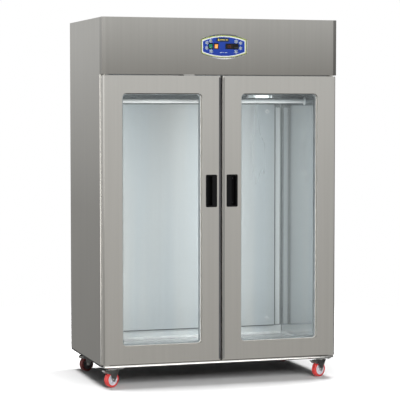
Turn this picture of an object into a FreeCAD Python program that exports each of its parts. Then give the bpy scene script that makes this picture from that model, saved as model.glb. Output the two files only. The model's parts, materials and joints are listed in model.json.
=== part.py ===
import FreeCAD, Part
import math
import os
import Sketcher
from FreeCAD import Placement, Rotation, Vector

# Two-door proofing cabinet on casters. Millimetres, +Z up, doors face -Y, +X to the right.
# The origin is on the floor, under the middle of the cabinet.

DRIVING = {
    "overall_width": 1400, "overall_depth": 800, "overall_height": 2090,
    "sheet": 2, "front_depth": 60, "bezel_proud": 3, "gland_proud": 8,
    "pan_low": 122, "side_low": 131, "strip_high": 136, "strip_half": 690,
    "door_low": 139, "door_high": 1765, "door_gap": 8, "door_thick": 55, "door_side_gap": 4,
    "fascia_low": 1771, "side_lip": 38, "fascia_slope_wide": 20, "fascia_slope_deep": 4,
    "chamber_half": 640, "chamber_back": 348, "chamber_floor": 170, "chamber_top": 1710,
    "cove_radius": 18, "post_half": 30, "post_deep": 58, "deck_high": 1765,
    "window_inner": 117, "window_outer": 585, "window_low": 239, "window_high": 1666,
    "window_radius": 25, "door_edge_radius": 8, "glass_thick": 4, "glass_setback": 20, "glass_gap": 16,
    "gasket_wide": 16, "hinge_inset": 20, "hinge_back": 25, "hinge_pin": 6, "fit": 0.05,
    "handle_centre": 62, "handle_wide": 66, "handle_tall": 185, "handle_level": 1111.5,
    "label_left": -120, "label_right": 148, "label_side_low": 1893, "label_side_high": 1970,
    "label_bulge": 24.5, "recess_deep": 8, "recess_slope": 9, "switch_level": 1933,
    "duct_half": 585, "duct_low": 228, "duct_high": 1604, "duct_deep": 20,
    "hood_half": 510, "hood_front": 153, "hood_low": 1608,
    "rail_radius": 12.5, "rail_back": -49, "rail_level": 1623,
    "caster_left": -612, "caster_right": 648, "caster_along": 302, "caster_turn": 26, "trail": 20,
    "wheel_radius": 45, "hub_radius": 33, "tread_half": 14, "plate_low": 108, "plate_high": 112,
}

doc = FreeCAD.newDocument("proofing_cabinet")
sheet = doc.addObject("Spreadsheet::Sheet", "dims")
for row, (alias, amount) in enumerate(DRIVING.items(), start=1):
    sheet.set(f"A{row}", alias)
    sheet.set(f"B{row}", str(amount))
    sheet.setAlias(f"B{row}", alias)
doc.recompute()

nodes = []


class Size:
    """A length that knows both its number and its spreadsheet expression."""

    def __init__(self, number, text):
        self.number = float(number)
        self.text = text

    def __add__(self, other):
        other = as_size(other)
        return Size(self.number + other.number, f"({self.text} + {other.text})")

    def __sub__(self, other):
        other = as_size(other)
        return Size(self.number - other.number, f"({self.text} - {other.text})")

    def __mul__(self, other):
        other = as_size(other)
        return Size(self.number * other.number, f"({self.text} * {other.text})")

    def __truediv__(self, other):
        other = as_size(other)
        return Size(self.number / other.number, f"({self.text} / {other.text})")

    def __radd__(self, other):
        return as_size(other) + self

    def __rsub__(self, other):
        return as_size(other) - self

    def __rmul__(self, other):
        return as_size(other) * self

    def __neg__(self):
        return 0 - self


def as_size(amount):
    if isinstance(amount, Size):
        return amount
    return Size(amount, repr(float(amount)))


def dim(alias):
    return Size(DRIVING[alias], f"dims.{alias}")


# Derived planes, all in the cabinet's frame.
SHEET = dim("sheet")
HALF = dim("overall_width") / 2
TOP = dim("overall_height")
DOOR_FACE = dim("bezel_proud") - dim("overall_depth") / 2
BODY_FACE = DOOR_FACE + dim("front_depth")
DOOR_BACK = DOOR_FACE + dim("door_thick")
BACK = dim("overall_depth") / 2 - dim("gland_proud")
CHAMBER = dim("chamber_half")
CHAMBER_BACK = dim("chamber_back")
FLOOR = dim("chamber_floor")
CEILING = dim("chamber_top")
DOOR_OUTER = HALF - dim("door_side_gap")
DOOR_INNER = dim("door_gap") / 2
HINGE_X = HALF - dim("hinge_inset")
HINGE_Y = DOOR_FACE + dim("hinge_back")


def bind(thing, path, amount):
    """Sets a property through a spreadsheet expression."""
    thing.setExpression(path, as_size(amount).text)


def place(thing, x=0, y=0, z=0):
    for letter, amount in zip("xyz", (x, y, z)):
        bind(thing, f"Placement.Base.{letter}", amount)


def keep(thing, label):
    """Marks an object as a sub-part: its label is the name of its file."""
    thing.Label = label
    nodes.append(thing)
    return thing


# Part primitives and booleans ---------------------------------------------------------------

def block(name, xs, ys, zs):
    box = doc.addObject("Part::Box", name)
    for side, (low, high) in zip(("Length", "Width", "Height"), (xs, ys, zs)):
        bind(box, side, high - as_size(low))
    place(box, xs[0], ys[0], zs[0])
    return box


TURNED = {"X": Rotation(Vector(0, 1, 0), 90), "Y": Rotation(Vector(1, 0, 0), -90), "Z": Rotation()}


def rod(name, axis, radius, low, high, across):
    """A cylinder along an axis from low to high; across holds its two other coordinates in order."""
    cylinder = doc.addObject("Part::Cylinder", name)
    bind(cylinder, "Radius", radius)
    bind(cylinder, "Height", high - as_size(low))
    cylinder.Placement = Placement(Vector(), TURNED[axis])
    first, second = across
    spot = {"X": (low, first, second), "Y": (first, low, second), "Z": (first, second, low)}
    place(cylinder, *spot[axis])
    return cylinder


def joined(name, pieces):
    fuse = doc.addObject("Part::MultiFuse", name)
    fuse.Shapes = pieces
    return fuse


def bundled(name, pieces):
    group = doc.addObject("Part::Compound", name)
    group.Links = pieces
    return group


def cut(name, base, tool):
    difference = doc.addObject("Part::Cut", name)
    difference.Base = base
    difference.Tool = tool
    return difference


def rounded_ends(name, cylinder, radius):
    """Rounds both rims of a cylinder: its closed edges."""
    doc.recompute()
    rims = [n for n, e in enumerate(cylinder.Shape.Edges, start=1) if e.Closed]
    fillet = doc.addObject("Part::Fillet", name)
    fillet.Base = cylinder
    fillet.Edges = [(n, radius, radius) for n in rims]
    return fillet


# Sketched bodies -------------------------------------------------------------------------------

class Outline:
    """Corner points in order, anticlockwise; arcs gives a side's radius, negative when it bulges inward."""

    def __init__(self, points, arcs=None):
        self.points = [(as_size(a), as_size(b)) for a, b in points]
        self.arcs = {side: as_size(radius) for side, radius in (arcs or {}).items()}


class Circle:
    def __init__(self, across, up, radius):
        self.across, self.up, self.radius = as_size(across), as_size(up), as_size(radius)


def rectangle(a0, a1, b0, b1):
    return Outline([(a0, b0), (a1, b0), (a1, b1), (a0, b1)])


def rounded(a0, a1, b0, b1, radius):
    """A rectangle with round corners; the first pair of limits may come in either order."""
    if as_size(a0).number > as_size(a1).number:
        a0, a1 = a1, a0
    points = [(a0 + radius, b0), (a1 - radius, b0), (a1, b0 + radius), (a1, b1 - radius),
              (a1 - radius, b1), (a0 + radius, b1), (a0, b1 - radius), (a0, b0 + radius)]
    return Outline(points, {1: radius, 3: radius, 5: radius, 7: radius})


def arc_between(start, end, radius):
    """The shorter arc from start to end, bulging to the right of the way for a positive radius."""
    chord = end.sub(start)
    right = Vector(chord.y, -chord.x, 0).normalize()
    reach = abs(radius)
    sagitta = reach - math.sqrt(max(reach * reach - chord.Length ** 2 / 4, 0))
    middle = (start + end) * 0.5 + right * math.copysign(sagitta, radius)
    return Part.Arc(start, middle, end)


def hold(sketch, geometry, vertex, point):
    """Fixes one vertex of a sketch's geometry at a place read from the sheet."""
    for kind, axis, amount in (("DistanceX", -2, point[0]), ("DistanceY", -1, point[1])):
        if abs(amount.number) < 1e-9:
            sketch.addConstraint(Sketcher.Constraint("PointOnObject", geometry, vertex, axis))
            continue
        rule = Sketcher.Constraint(kind, -1, 1, geometry, vertex, amount.number)
        number = sketch.addConstraint(rule)
        sketch.setExpression(f"Constraints[{number}]", amount.text)


def hold_radius(sketch, geometry, radius):
    number = sketch.addConstraint(Sketcher.Constraint("Radius", geometry, abs(radius.number)))
    sketch.setExpression(f"Constraints[{number}]", f"abs({radius.text})")


def draw_circle(sketch, circle):
    geometry = sketch.GeometryCount
    centre = Vector(circle.across.number, circle.up.number, 0)
    sketch.addGeometry(Part.Circle(centre, Vector(0, 0, 1), circle.radius.number), False)
    hold_radius(sketch, geometry, circle.radius)
    hold(sketch, geometry, 3, (circle.across, circle.up))


def draw_outline(sketch, outline):
    """Draws the sides; an arc that the sketch stores the other way round swaps its two ends."""
    first = sketch.GeometryCount
    corners = [Vector(a.number, b.number, 0) for a, b in outline.points]
    count = len(corners)
    ends = []
    for side in range(count):
        start, end = corners[side], corners[(side + 1) % count]
        if side in outline.arcs:
            sketch.addGeometry(arc_between(start, end, outline.arcs[side].number), False)
        else:
            sketch.addGeometry(Part.LineSegment(start, end), False)
        swapped = sketch.getPoint(first + side, 1).distanceToPoint(start) > 1e-6
        ends.append((2, 1) if swapped else (1, 2))
    for side in range(count):
        after = (side + 1) % count
        sketch.addConstraint(Sketcher.Constraint(
            "Coincident", first + side, ends[side][1], first + after, ends[after][0]))
        hold(sketch, first + side, ends[side][0], outline.points[side])
    for side, radius in outline.arcs.items():
        hold_radius(sketch, first + side, radius)


def draw(sketch, shape):
    if isinstance(shape, Circle):
        draw_circle(sketch, shape)
    else:
        draw_outline(sketch, shape)


PLANES = {"X": "YZ_Plane", "Y": "XZ_Plane", "Z": "XY_Plane"}


def sketch_at(body, axis, level, outlines):
    """A sketch of the outlines on the plane across an axis at a level."""
    sketch = body.newObject("Sketcher::SketchObject", body.Name + "_sketch")
    plane = [item for item in body.Origin.OriginFeatures if item.Role == PLANES[axis]][0]
    sketch.AttachmentSupport = [(plane, "")]
    sketch.MapMode = "FlatFace"
    bind(sketch, "AttachmentOffset.Base.z", -as_size(level) if axis == "Y" else level)
    for outline in outlines:
        draw(sketch, outline)
    return sketch


def pad(body, axis, outlines, low, high):
    """Adds the outlines' solid from low to high; the XZ plane's normal is -Y, so its pads start high."""
    sketch = sketch_at(body, axis, high if axis == "Y" else low, outlines)
    feature = body.newObject("PartDesign::Pad", body.Name + "_pad")
    feature.Profile = sketch
    bind(feature, "Length", high - as_size(low))
    doc.recompute()
    return feature


def pocket(body, axis, outlines, low, high):
    """Takes the outlines' solid away from low to high, and checks that something went."""
    before = body.Shape.Volume
    sketch = sketch_at(body, axis, low if axis == "Y" else high, outlines)
    feature = body.newObject("PartDesign::Pocket", body.Name + "_pocket")
    feature.Profile = sketch
    bind(feature, "Length", high - as_size(low))
    doc.recompute()
    if body.Shape.Volume >= before - 1e-3:
        raise RuntimeError(f"{feature.Name} cuts nothing")
    return feature


def new_body(name):
    return doc.addObject("PartDesign::Body", name)


def extruded(name, axis, outlines, low, high):
    body = new_body(name)
    pad(body, axis, outlines, low, high)
    return body


def repeated(body, feature, step, count):
    """Repeats a feature upwards in its sketch's plane."""
    pattern = body.newObject("PartDesign::LinearPattern", body.Name + "_row")
    pattern.Originals = [feature]
    pattern.Direction = (feature.Profile[0], ["V_Axis"])
    pattern.Length = step * (count - 1)
    pattern.Occurrences = count
    body.Tip = pattern
    doc.recompute()
    return pattern


# Cabinet shell ----------------------------------------------------------------------------------

def side_panel(label, side):
    lip = HALF - dim("side_lip")
    points = [(side * HALF, BODY_FACE), (side * lip, BODY_FACE), (side * lip, BODY_FACE + SHEET),
              (side * (HALF - SHEET), BODY_FACE + SHEET), (side * (HALF - SHEET), BACK),
              (side * HALF, BACK)]
    keep(extruded(label, "Z", [Outline(points)], dim("side_low"), TOP), label)


VENT_HALF, VENT_TALL, VENT_STEP, VENT_COUNT, VENT_LOW = 260, 8, 22, 10, 1820
GLAND_X, GLAND_Z, GLAND_RADIUS, GLAND_BORE = 520, 1960, 11, 6


def back_panel():
    inner = HALF - SHEET
    body = extruded("back_panel", "Y", [rectangle(-inner, inner, dim("side_low"), TOP - SHEET)],
                    BACK - SHEET, BACK)
    pocket(body, "Y", [Circle(GLAND_X, GLAND_Z, GLAND_RADIUS + dim("fit"))], BACK - SHEET, BACK)
    slot = rounded(-VENT_HALF, VENT_HALF, VENT_LOW, VENT_LOW + VENT_TALL, VENT_TALL * 0.45)
    first = pocket(body, "Y", [slot], BACK - SHEET, BACK)
    repeated(body, first, VENT_STEP, VENT_COUNT)
    keep(body, "back_panel")


def top_cover():
    """A flat sheet between the side panels, notched at its two front corners for their lips."""
    inner, lip, notch = HALF - SHEET, HALF - dim("side_lip"), BODY_FACE + SHEET
    points = [(inner, BACK), (-inner, BACK), (-inner, notch), (-lip, notch), (-lip, BODY_FACE),
              (lip, BODY_FACE), (lip, notch), (inner, notch)]
    keep(extruded("top_cover", "Z", [Outline(points)], TOP - SHEET, TOP), "top_cover")


PAN_SHEET, BOLSTER_HALF_WIDE = 3, 46


def base_pan():
    inner = HALF - SHEET
    low, high = dim("pan_low"), dim("side_low")
    outer = block("pan_outer", (-inner, inner), (BODY_FACE, BACK), (low, high))
    hollow = block("pan_hollow", (PAN_SHEET - inner, inner - PAN_SHEET),
                   (BODY_FACE + PAN_SHEET, BACK - PAN_SHEET), (low + PAN_SHEET, high + 1))
    tray = cut("pan_tray", outer, hollow)
    ends = (dim("caster_left") - BOLSTER_HALF_WIDE, dim("caster_right") + BOLSTER_HALF_WIDE)
    along = dim("caster_along")
    bolsters = [
        block(f"bolster_{end}", ends,
              (end * along - BOLSTER_HALF_WIDE, end * along + BOLSTER_HALF_WIDE),
              (dim("plate_high"), low))
        for end in (-1, 1)
    ]
    keep(joined("base_pan", [tray] + bolsters), "base_pan")


def front_strip():
    low, high = dim("pan_low"), dim("strip_high")
    radius = (high - low) / 2
    profile = Outline(
        [(DOOR_FACE + radius, low), (BODY_FACE, low), (BODY_FACE, high), (DOOR_FACE + radius, high),
         (DOOR_FACE, low + radius)], {3: radius, 4: radius})
    half = dim("strip_half")
    keep(extruded("front_strip", "X", [profile], -half, half), "front_strip")


def insulation():
    inner = HALF - SHEET
    foam = block("foam_outer", (-inner, inner), (BODY_FACE + SHEET, BACK - SHEET),
                 (dim("side_low"), dim("deck_high") - SHEET))
    hollow = block("foam_hollow", (-CHAMBER - SHEET, CHAMBER + SHEET),
                   (BODY_FACE, CHAMBER_BACK + SHEET), (FLOOR - SHEET, CEILING + SHEET))
    keep(cut("insulation", foam, hollow), "insulation")


def machine_deck():
    inner = HALF - SHEET
    high = dim("deck_high")
    keep(block("machine_deck", (-inner, inner), (BODY_FACE + SHEET, BACK - SHEET),
               (high - SHEET, high)), "machine_deck")


def liner():
    front, cove = BODY_FACE + SHEET, dim("cove_radius")
    sides = [
        block(f"liner_wall_{name}", (low, low + SHEET), (front, CHAMBER_BACK), (FLOOR + cove, CEILING))
        for name, low in (("left", -CHAMBER - SHEET), ("right", CHAMBER))
    ]
    back = block("liner_wall_back", (-CHAMBER - SHEET, CHAMBER + SHEET),
                 (CHAMBER_BACK, CHAMBER_BACK + SHEET), (FLOOR - SHEET, CEILING + SHEET))
    keep(bundled("liner_walls", sides + [back]), "liner_walls")
    keep(block("liner_ceiling", (-CHAMBER - SHEET, CHAMBER + SHEET), (front, CHAMBER_BACK),
               (CEILING, CEILING + SHEET)), "liner_ceiling")
    edge, bend = CHAMBER + SHEET, CHAMBER - cove
    profile = Outline(
        [(-edge, FLOOR + cove), (-bend, FLOOR - SHEET), (bend, FLOOR - SHEET), (edge, FLOOR + cove),
         (CHAMBER, FLOOR + cove), (bend, FLOOR), (-bend, FLOOR), (-CHAMBER, FLOOR + cove)],
        {0: cove + SHEET, 2: cove + SHEET, 4: -cove, 6: -cove})
    keep(extruded("liner_floor", "Y", [profile], front, CHAMBER_BACK), "liner_floor")


FRAME_RADIUS, FRAME_RISE = 12, 16


def door_frame():
    """The sheet round both doorways, with the hollow post between them."""
    edge, post = HALF - dim("side_lip"), dim("post_half")
    loops = [rectangle(-edge, edge, dim("side_low"), dim("deck_high") + FRAME_RISE)]
    for side in (-1, 1):
        loops.append(rounded(side * post, side * CHAMBER, FLOOR, CEILING, FRAME_RADIUS))
    body = extruded("door_frame", "Y", loops, BODY_FACE, BODY_FACE + SHEET)
    near, far = BODY_FACE + SHEET, BODY_FACE + SHEET + dim("post_deep")
    tube = [rectangle(-post, post, near, far),
            rectangle(SHEET - post, post - SHEET, near + SHEET, far - SHEET)]
    pad(body, "Z", tube, FLOOR, CEILING)
    keep(body, "door_frame")


# Chamber fittings ---------------------------------------------------------------------------------

def duct_panel():
    half, low, high = dim("duct_half"), dim("duct_low"), dim("duct_high")
    front = CHAMBER_BACK - dim("duct_deep")
    body = extruded("duct_panel", "Y", [rounded(-half, half, low, high, 6)], front, CHAMBER_BACK)
    inside = rectangle(SHEET - half, half - SHEET, low + SHEET, high - SHEET)
    pocket(body, "Y", [inside], front + SHEET, CHAMBER_BACK)
    keep(body, "duct_panel")


BLOWER_HALF, BLOWER_Y, BLOWER_Z, BLOWER_RADIUS = 240, 207, 1655, 34
OUTLET_HALF_WIDE, GRILLE_BAR, GRILLE_STEP = 32, 4, 40


def evaporator_housing():
    half, low = dim("hood_half"), dim("hood_low")
    front = dim("hood_front")
    body = extruded("evaporator_housing", "Z", [rectangle(-half, half, front, CHAMBER_BACK)],
                    low, CEILING)
    pocket(body, "Z", [rectangle(SHEET - half, half - SHEET, front + SHEET, CHAMBER_BACK - SHEET)],
           low + SHEET, CEILING)
    outlet = rectangle(-BLOWER_HALF, BLOWER_HALF, BLOWER_Y - OUTLET_HALF_WIDE, BLOWER_Y + OUTLET_HALF_WIDE)
    pocket(body, "Z", [outlet], low, low + SHEET)
    for bar in range(1, 2 * BLOWER_HALF // GRILLE_STEP):
        across = -BLOWER_HALF + bar * GRILLE_STEP
        pad(body, "Z", [rectangle(across - GRILLE_BAR / 2, across + GRILLE_BAR / 2,
                                  BLOWER_Y - OUTLET_HALF_WIDE - 1, BLOWER_Y + OUTLET_HALF_WIDE + 1)],
            low, low + SHEET)
    keep(body, "evaporator_housing")


COIL_HALF, COIL_FIN, COIL_PITCH, COIL_FRONT, COIL_BACK = 420, 2, 30, 262, 338
COIL_LOW, COIL_HIGH, COIL_TUBE = 1622, 1700, 6


def finned_coil(label, half, ys, zs, pitch, middle):
    """A row of fins on three tubes that run left to right."""
    fins = []
    for number in range(int(2 * half / pitch) + 1):
        left = middle - half + number * pitch
        fins.append(block(f"{label}_fin_{number}", (left, left + COIL_FIN), ys, zs))
    levels = [zs[0] + (zs[1] - zs[0]) * share for share in (0.2, 0.5, 0.8)]
    tubes = [
        rod(f"{label}_tube_{number}", "X", COIL_TUBE, middle - half - 20, middle + half + 20,
            ((ys[0] + ys[1]) / 2, level))
        for number, level in enumerate(levels)
    ]
    keep(joined(label, fins + tubes), label)


def evaporator_coil():
    finned_coil("evaporator_coil", COIL_HALF, (COIL_FRONT, COIL_BACK), (COIL_LOW, COIL_HIGH),
                COIL_PITCH, 0)


BLADE_COUNT, BLADE_THICK, BLADE_DEEP = 16, 1.5, 10
ROTOR_HALF, SHAFT_RADIUS, MOTOR_RADIUS = 225, 4, 28


def blower():
    """The cross-flow rotor, and its motor and end bearing, which stay still."""
    rings = [
        rod(f"rotor_disc_{number}", "X", BLOWER_RADIUS, at, at + 3, (BLOWER_Y, BLOWER_Z))
        for number, at in enumerate((-ROTOR_HALF, -1.5, ROTOR_HALF - 3))
    ]
    blades = []
    for number in range(BLADE_COUNT):
        turn = 360 / BLADE_COUNT * number
        blade = doc.addObject("Part::Box", f"rotor_blade_{number}")
        bind(blade, "Length", 2 * ROTOR_HALF)
        bind(blade, "Width", BLADE_DEEP)
        bind(blade, "Height", BLADE_THICK)
        blade.Placement = Placement(Vector(0, 0, 0), Rotation(Vector(1, 0, 0), turn + 25))
        reach = BLOWER_RADIUS - BLADE_DEEP
        place(blade, -ROTOR_HALF, BLOWER_Y + reach * math.cos(math.radians(turn)),
              BLOWER_Z + reach * math.sin(math.radians(turn)))
        blades.append(blade)
    shaft = rod("rotor_shaft", "X", SHAFT_RADIUS, -ROTOR_HALF - 14, ROTOR_HALF + 14, (BLOWER_Y, BLOWER_Z))
    keep(joined("blower_rotor", rings + blades + [shaft]), "blower_rotor")
    housing = rod("motor_can", "X", MOTOR_RADIUS, ROTOR_HALF + 6, ROTOR_HALF + 70, (BLOWER_Y, BLOWER_Z))
    bore = rod("motor_bore", "X", SHAFT_RADIUS + dim("fit"), ROTOR_HALF, ROTOR_HALF + 20,
               (BLOWER_Y, BLOWER_Z))
    motor = cut("blower_motor_can", housing, bore)
    bracket = block("bearing_block", (-ROTOR_HALF - 18, -ROTOR_HALF - 6),
                    (BLOWER_Y - 14, BLOWER_Y + 14), (BLOWER_Z - 14, CEILING))
    seat = rod("bearing_bore", "X", SHAFT_RADIUS + dim("fit"), -ROTOR_HALF - 20, -ROTOR_HALF,
               (BLOWER_Y, BLOWER_Z))
    strap = block("motor_strap", (ROTOR_HALF + 30, ROTOR_HALF + 50), (BLOWER_Y - 10, BLOWER_Y + 10),
                  (BLOWER_Z + 20, CEILING))
    hanger = joined("blower_motor_hung", [motor, strap])
    keep(bundled("blower_motor", [hanger, cut("blower_bearing", bracket, seat)]), "blower_motor")


FLANGE_RADIUS, FLANGE_THICK = 24, 6


def hanging_rail():
    """A round rail between the side walls, ending in round flanges."""
    across = (dim("rail_back"), dim("rail_level"))
    tube = rod("rail_tube", "X", dim("rail_radius"), -CHAMBER, CHAMBER, across)
    flanges = [
        rod(f"rail_flange_{name}", "X", FLANGE_RADIUS, low, low + FLANGE_THICK, across)
        for name, low in (("left", -CHAMBER), ("right", CHAMBER - FLANGE_THICK))
    ]
    keep(joined("hanging_rail", [tube] + flanges), "hanging_rail")


# Fascia and controls ------------------------------------------------------------------------------

FASCIA_WALL, FASCIA_BACK_WALL = 10, 2
LABEL_THICK, LABEL_CLEAR = 1.5, 0.4
SWITCHES = {"green": -65, "orange": -32}
HOLE_HALF_WIDE, HOLE_HALF_TALL = 11, 14


def barrel(grow_ends, grow_arcs):
    """The label's outline: straight ends, with arcs above and below, grown outwards."""
    left, right = dim("label_left") - grow_ends, dim("label_right") + grow_ends
    low, high = dim("label_side_low"), dim("label_side_high")
    bulge = dim("label_bulge") + grow_arcs
    half = (right - left) / 2
    radius = (half * half + bulge * bulge) / (2 * bulge)
    return Outline([(left, low), (right, low), (right, high), (left, high)], {0: radius, 2: radius})


def switch_holes():
    level = dim("switch_level")
    return [
        rectangle(middle - HOLE_HALF_WIDE, middle + HOLE_HALF_WIDE,
                  level - HOLE_HALF_TALL, level + HOLE_HALF_TALL)
        for middle in SWITCHES.values()
    ]


def fascia():
    slope_wide, slope_deep = dim("fascia_slope_wide"), dim("fascia_slope_deep")
    plan = Outline([(-HALF, DOOR_FACE + slope_deep), (slope_wide - HALF, DOOR_FACE),
                    (HALF - slope_wide, DOOR_FACE), (HALF, DOOR_FACE + slope_deep),
                    (HALF, BODY_FACE), (-HALF, BODY_FACE)])
    low = dim("fascia_low")
    body = extruded("fascia", "Z", [plan], low, TOP)
    wall = FASCIA_BACK_WALL
    pocket(body, "Y", [rectangle(wall - HALF, HALF - wall, low + wall, TOP - wall)],
           DOOR_FACE + FASCIA_WALL, BODY_FACE)
    recess(body)
    floor = DOOR_FACE + dim("recess_deep")
    pocket(body, "Y", switch_holes(), floor, DOOR_FACE + FASCIA_WALL)
    keep(body, "fascia")


def recess(body):
    """Sinks the label's place into the fascia with sloped walls above, below and at the ends."""
    before = body.Shape.Volume
    slope = dim("recess_slope")
    mouth = sketch_at(body, "Y", DOOR_FACE, [barrel(slope / 2, slope)])
    floor = sketch_at(body, "Y", DOOR_FACE + dim("recess_deep"), [barrel(LABEL_CLEAR, LABEL_CLEAR)])
    loft = body.newObject("PartDesign::SubtractiveLoft", "fascia_recess")
    loft.Profile = mouth
    loft.Sections = [floor]
    loft.Ruled = True
    doc.recompute()
    if body.Shape.Volume >= before:
        raise RuntimeError("the recess cuts nothing")


def label_plate():
    floor = DOOR_FACE + dim("recess_deep")
    body = extruded("label_plate", "Y", [barrel(0, 0)], floor - LABEL_THICK, floor)
    pocket(body, "Y", switch_holes(), floor - LABEL_THICK, floor)
    keep(body, "label_plate")


CONTROLLER = (23, 101, 1917, 1948)
CONTROLLER_DEEP, CONTROLLER_ROUND = 4, 2
DISPLAY_LEFT, DISPLAY_RIGHT, DISPLAY_EDGE, DISPLAY_DEEP = 5, 43, 6, 0.8
BUTTONS = {"set_button": 79, "down_button": 91}
BUTTON_RADIUS, BUTTON_LEVEL, BUTTON_GAP, BUTTON_PROUD = 2.6, 1925, 0.1, 1


def controller():
    left, right, low, high = CONTROLLER
    rear = DOOR_FACE + dim("recess_deep") - LABEL_THICK
    face = rear - CONTROLLER_DEEP
    body = extruded("controller_body", "Y", [rounded(left, right, low, high, CONTROLLER_ROUND)],
                    face, rear)
    display = rectangle(left + DISPLAY_LEFT, left + DISPLAY_RIGHT, low + DISPLAY_EDGE, high - DISPLAY_EDGE)
    pocket(body, "Y", [display], face, face + DISPLAY_DEEP)
    holes = [Circle(across, BUTTON_LEVEL, BUTTON_RADIUS + BUTTON_GAP) for across in BUTTONS.values()]
    pocket(body, "Y", holes, face, rear)
    keep(body, "controller_body")
    for label, across in BUTTONS.items():
        keep(rod(label, "Y", BUTTON_RADIUS, face - BUTTON_PROUD, rear - BUTTON_PROUD,
                 (across, BUTTON_LEVEL)), label)


BEZEL_HALF_WIDE, BEZEL_HALF_TALL, BEZEL_PROUD, BEZEL_ROUND = 14, 17, 2.5, 2
WELL_HALF_WIDE, WELL_HALF_TALL = 10, 13.2
WELL_FLOOR, HOUSING_BACK, ROCKER_HALF_WIDE, ROCKER_PIVOT, ROCKER_TILT = 20, 22, 9.6, 4, 8
ROCKER_PIN, PIN_ROOT = 1.5, 0.5


def rockers():
    """Two rocker switches: a bezel with a box behind it, and a rocker tilted to its off side."""
    level = dim("switch_level")
    rear = DOOR_FACE + dim("recess_deep") - LABEL_THICK
    bezels = []
    for name, middle in SWITCHES.items():
        body = extruded(f"bezel_{name}", "Y", [rounded(
            middle - BEZEL_HALF_WIDE, middle + BEZEL_HALF_WIDE,
            level - BEZEL_HALF_TALL, level + BEZEL_HALF_TALL, BEZEL_ROUND)], rear - BEZEL_PROUD, rear)
        pad(body, "Y", [rectangle(middle - HOLE_HALF_WIDE, middle + HOLE_HALF_WIDE,
                                  level - HOLE_HALF_TALL, level + HOLE_HALF_TALL)],
            rear, rear + HOUSING_BACK)
        pocket(body, "Y", [rectangle(middle - WELL_HALF_WIDE, middle + WELL_HALF_WIDE,
                                     level - WELL_HALF_TALL, level + WELL_HALF_TALL)],
               rear - BEZEL_PROUD, rear + WELL_FLOOR)
        pad(body, "X", [Circle(rear + ROCKER_PIVOT, level, ROCKER_PIN)],
            middle - WELL_HALF_WIDE - PIN_ROOT, middle + WELL_HALF_WIDE + PIN_ROOT)
        bezels.append(body)
        profile = Outline([(-6.4, 0), (-7.8, -11.4), (-2, -11.8), (3, -6), (3, 6), (-2, 11.8),
                           (-7.8, 11.4)])
        rocker = extruded(f"rocker_{name}", "X", [profile], -ROCKER_HALF_WIDE, ROCKER_HALF_WIDE)
        pocket(rocker, "X", [Circle(0, 0, ROCKER_PIN + dim("fit"))],
               -ROCKER_HALF_WIDE, ROCKER_HALF_WIDE)
        rocker.Placement = Placement(Vector(), Rotation(Vector(1, 0, 0), ROCKER_TILT))
        place(rocker, middle, rear + ROCKER_PIVOT, level)
        keep(rocker, f"rocker_{name}")
    keep(bundled("rocker_bezels", bezels), "rocker_bezels")


# Machine compartment --------------------------------------------------------------------------------

COMPRESSOR_X, COMPRESSOR_Y, COMPRESSOR_RADIUS = 330, 120, 85


def compressor():
    deck = dim("deck_high")
    can = rod("compressor_can", "Z", COMPRESSOR_RADIUS, deck + 16, deck + 206, (COMPRESSOR_X, COMPRESSOR_Y))
    dome = rounded_ends("compressor_dome", can, 38)
    foot = block("compressor_foot", (COMPRESSOR_X - 105, COMPRESSOR_X + 105),
                 (COMPRESSOR_Y - 75, COMPRESSOR_Y + 75), (deck + 12, deck + 18))
    pads = [
        rod(f"compressor_pad_{x}_{y}", "Z", 12, deck, deck + 12,
            (COMPRESSOR_X + x * 88, COMPRESSOR_Y + y * 58))
        for x in (-1, 1) for y in (-1, 1)
    ]
    box = block("compressor_box", (COMPRESSOR_X - 30, COMPRESSOR_X + 30),
                (COMPRESSOR_Y - 112, COMPRESSOR_Y - 70), (deck + 80, deck + 150))
    keep(joined("compressor", [dome, foot, box] + pads), "compressor")


COND_X, COND_HALF, COND_FRONT, COND_BACK, COND_TALL, COND_PITCH = -150, 160, 130, 210, 250, 14
FAN_RADIUS, FAN_Y, FAN_Z, FAN_BLADES = 100, 262, 1895, 5
CAN_RADIUS, CAN_END = 26, FAN_Y - 22


def condenser():
    deck = dim("deck_high")
    finned_coil("condenser_coil", COND_HALF, (as_size(COND_FRONT), as_size(COND_BACK)),
                (deck, deck + COND_TALL), COND_PITCH, COND_X)
    frame = extruded("condenser_shroud", "Y", [
        rectangle(COND_X - COND_HALF, COND_X + COND_HALF, deck, deck + COND_TALL),
        Circle(COND_X, FAN_Z, FAN_RADIUS + 8)], COND_BACK + 4, COND_BACK + 8)
    ring = [Circle(COND_X, FAN_Z, FAN_RADIUS + 10), Circle(COND_X, FAN_Z, FAN_RADIUS + 7)]
    pad(frame, "Y", ring, COND_BACK + 4, FAN_Y + 14)
    bar = rectangle(COND_X - FAN_RADIUS - 9, COND_X + FAN_RADIUS + 9, FAN_Z - 8, FAN_Z + 8)
    pad(frame, "Y", [bar], COND_BACK + 10, COND_BACK + 13)
    pad(frame, "Y", [Circle(COND_X, FAN_Z, CAN_RADIUS)], COND_BACK + 4, CAN_END)
    pocket(frame, "Y", [Circle(COND_X, FAN_Z, SHAFT_RADIUS + dim("fit"))], COND_BACK + 8, CAN_END)
    keep(frame, "condenser_shroud")


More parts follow.
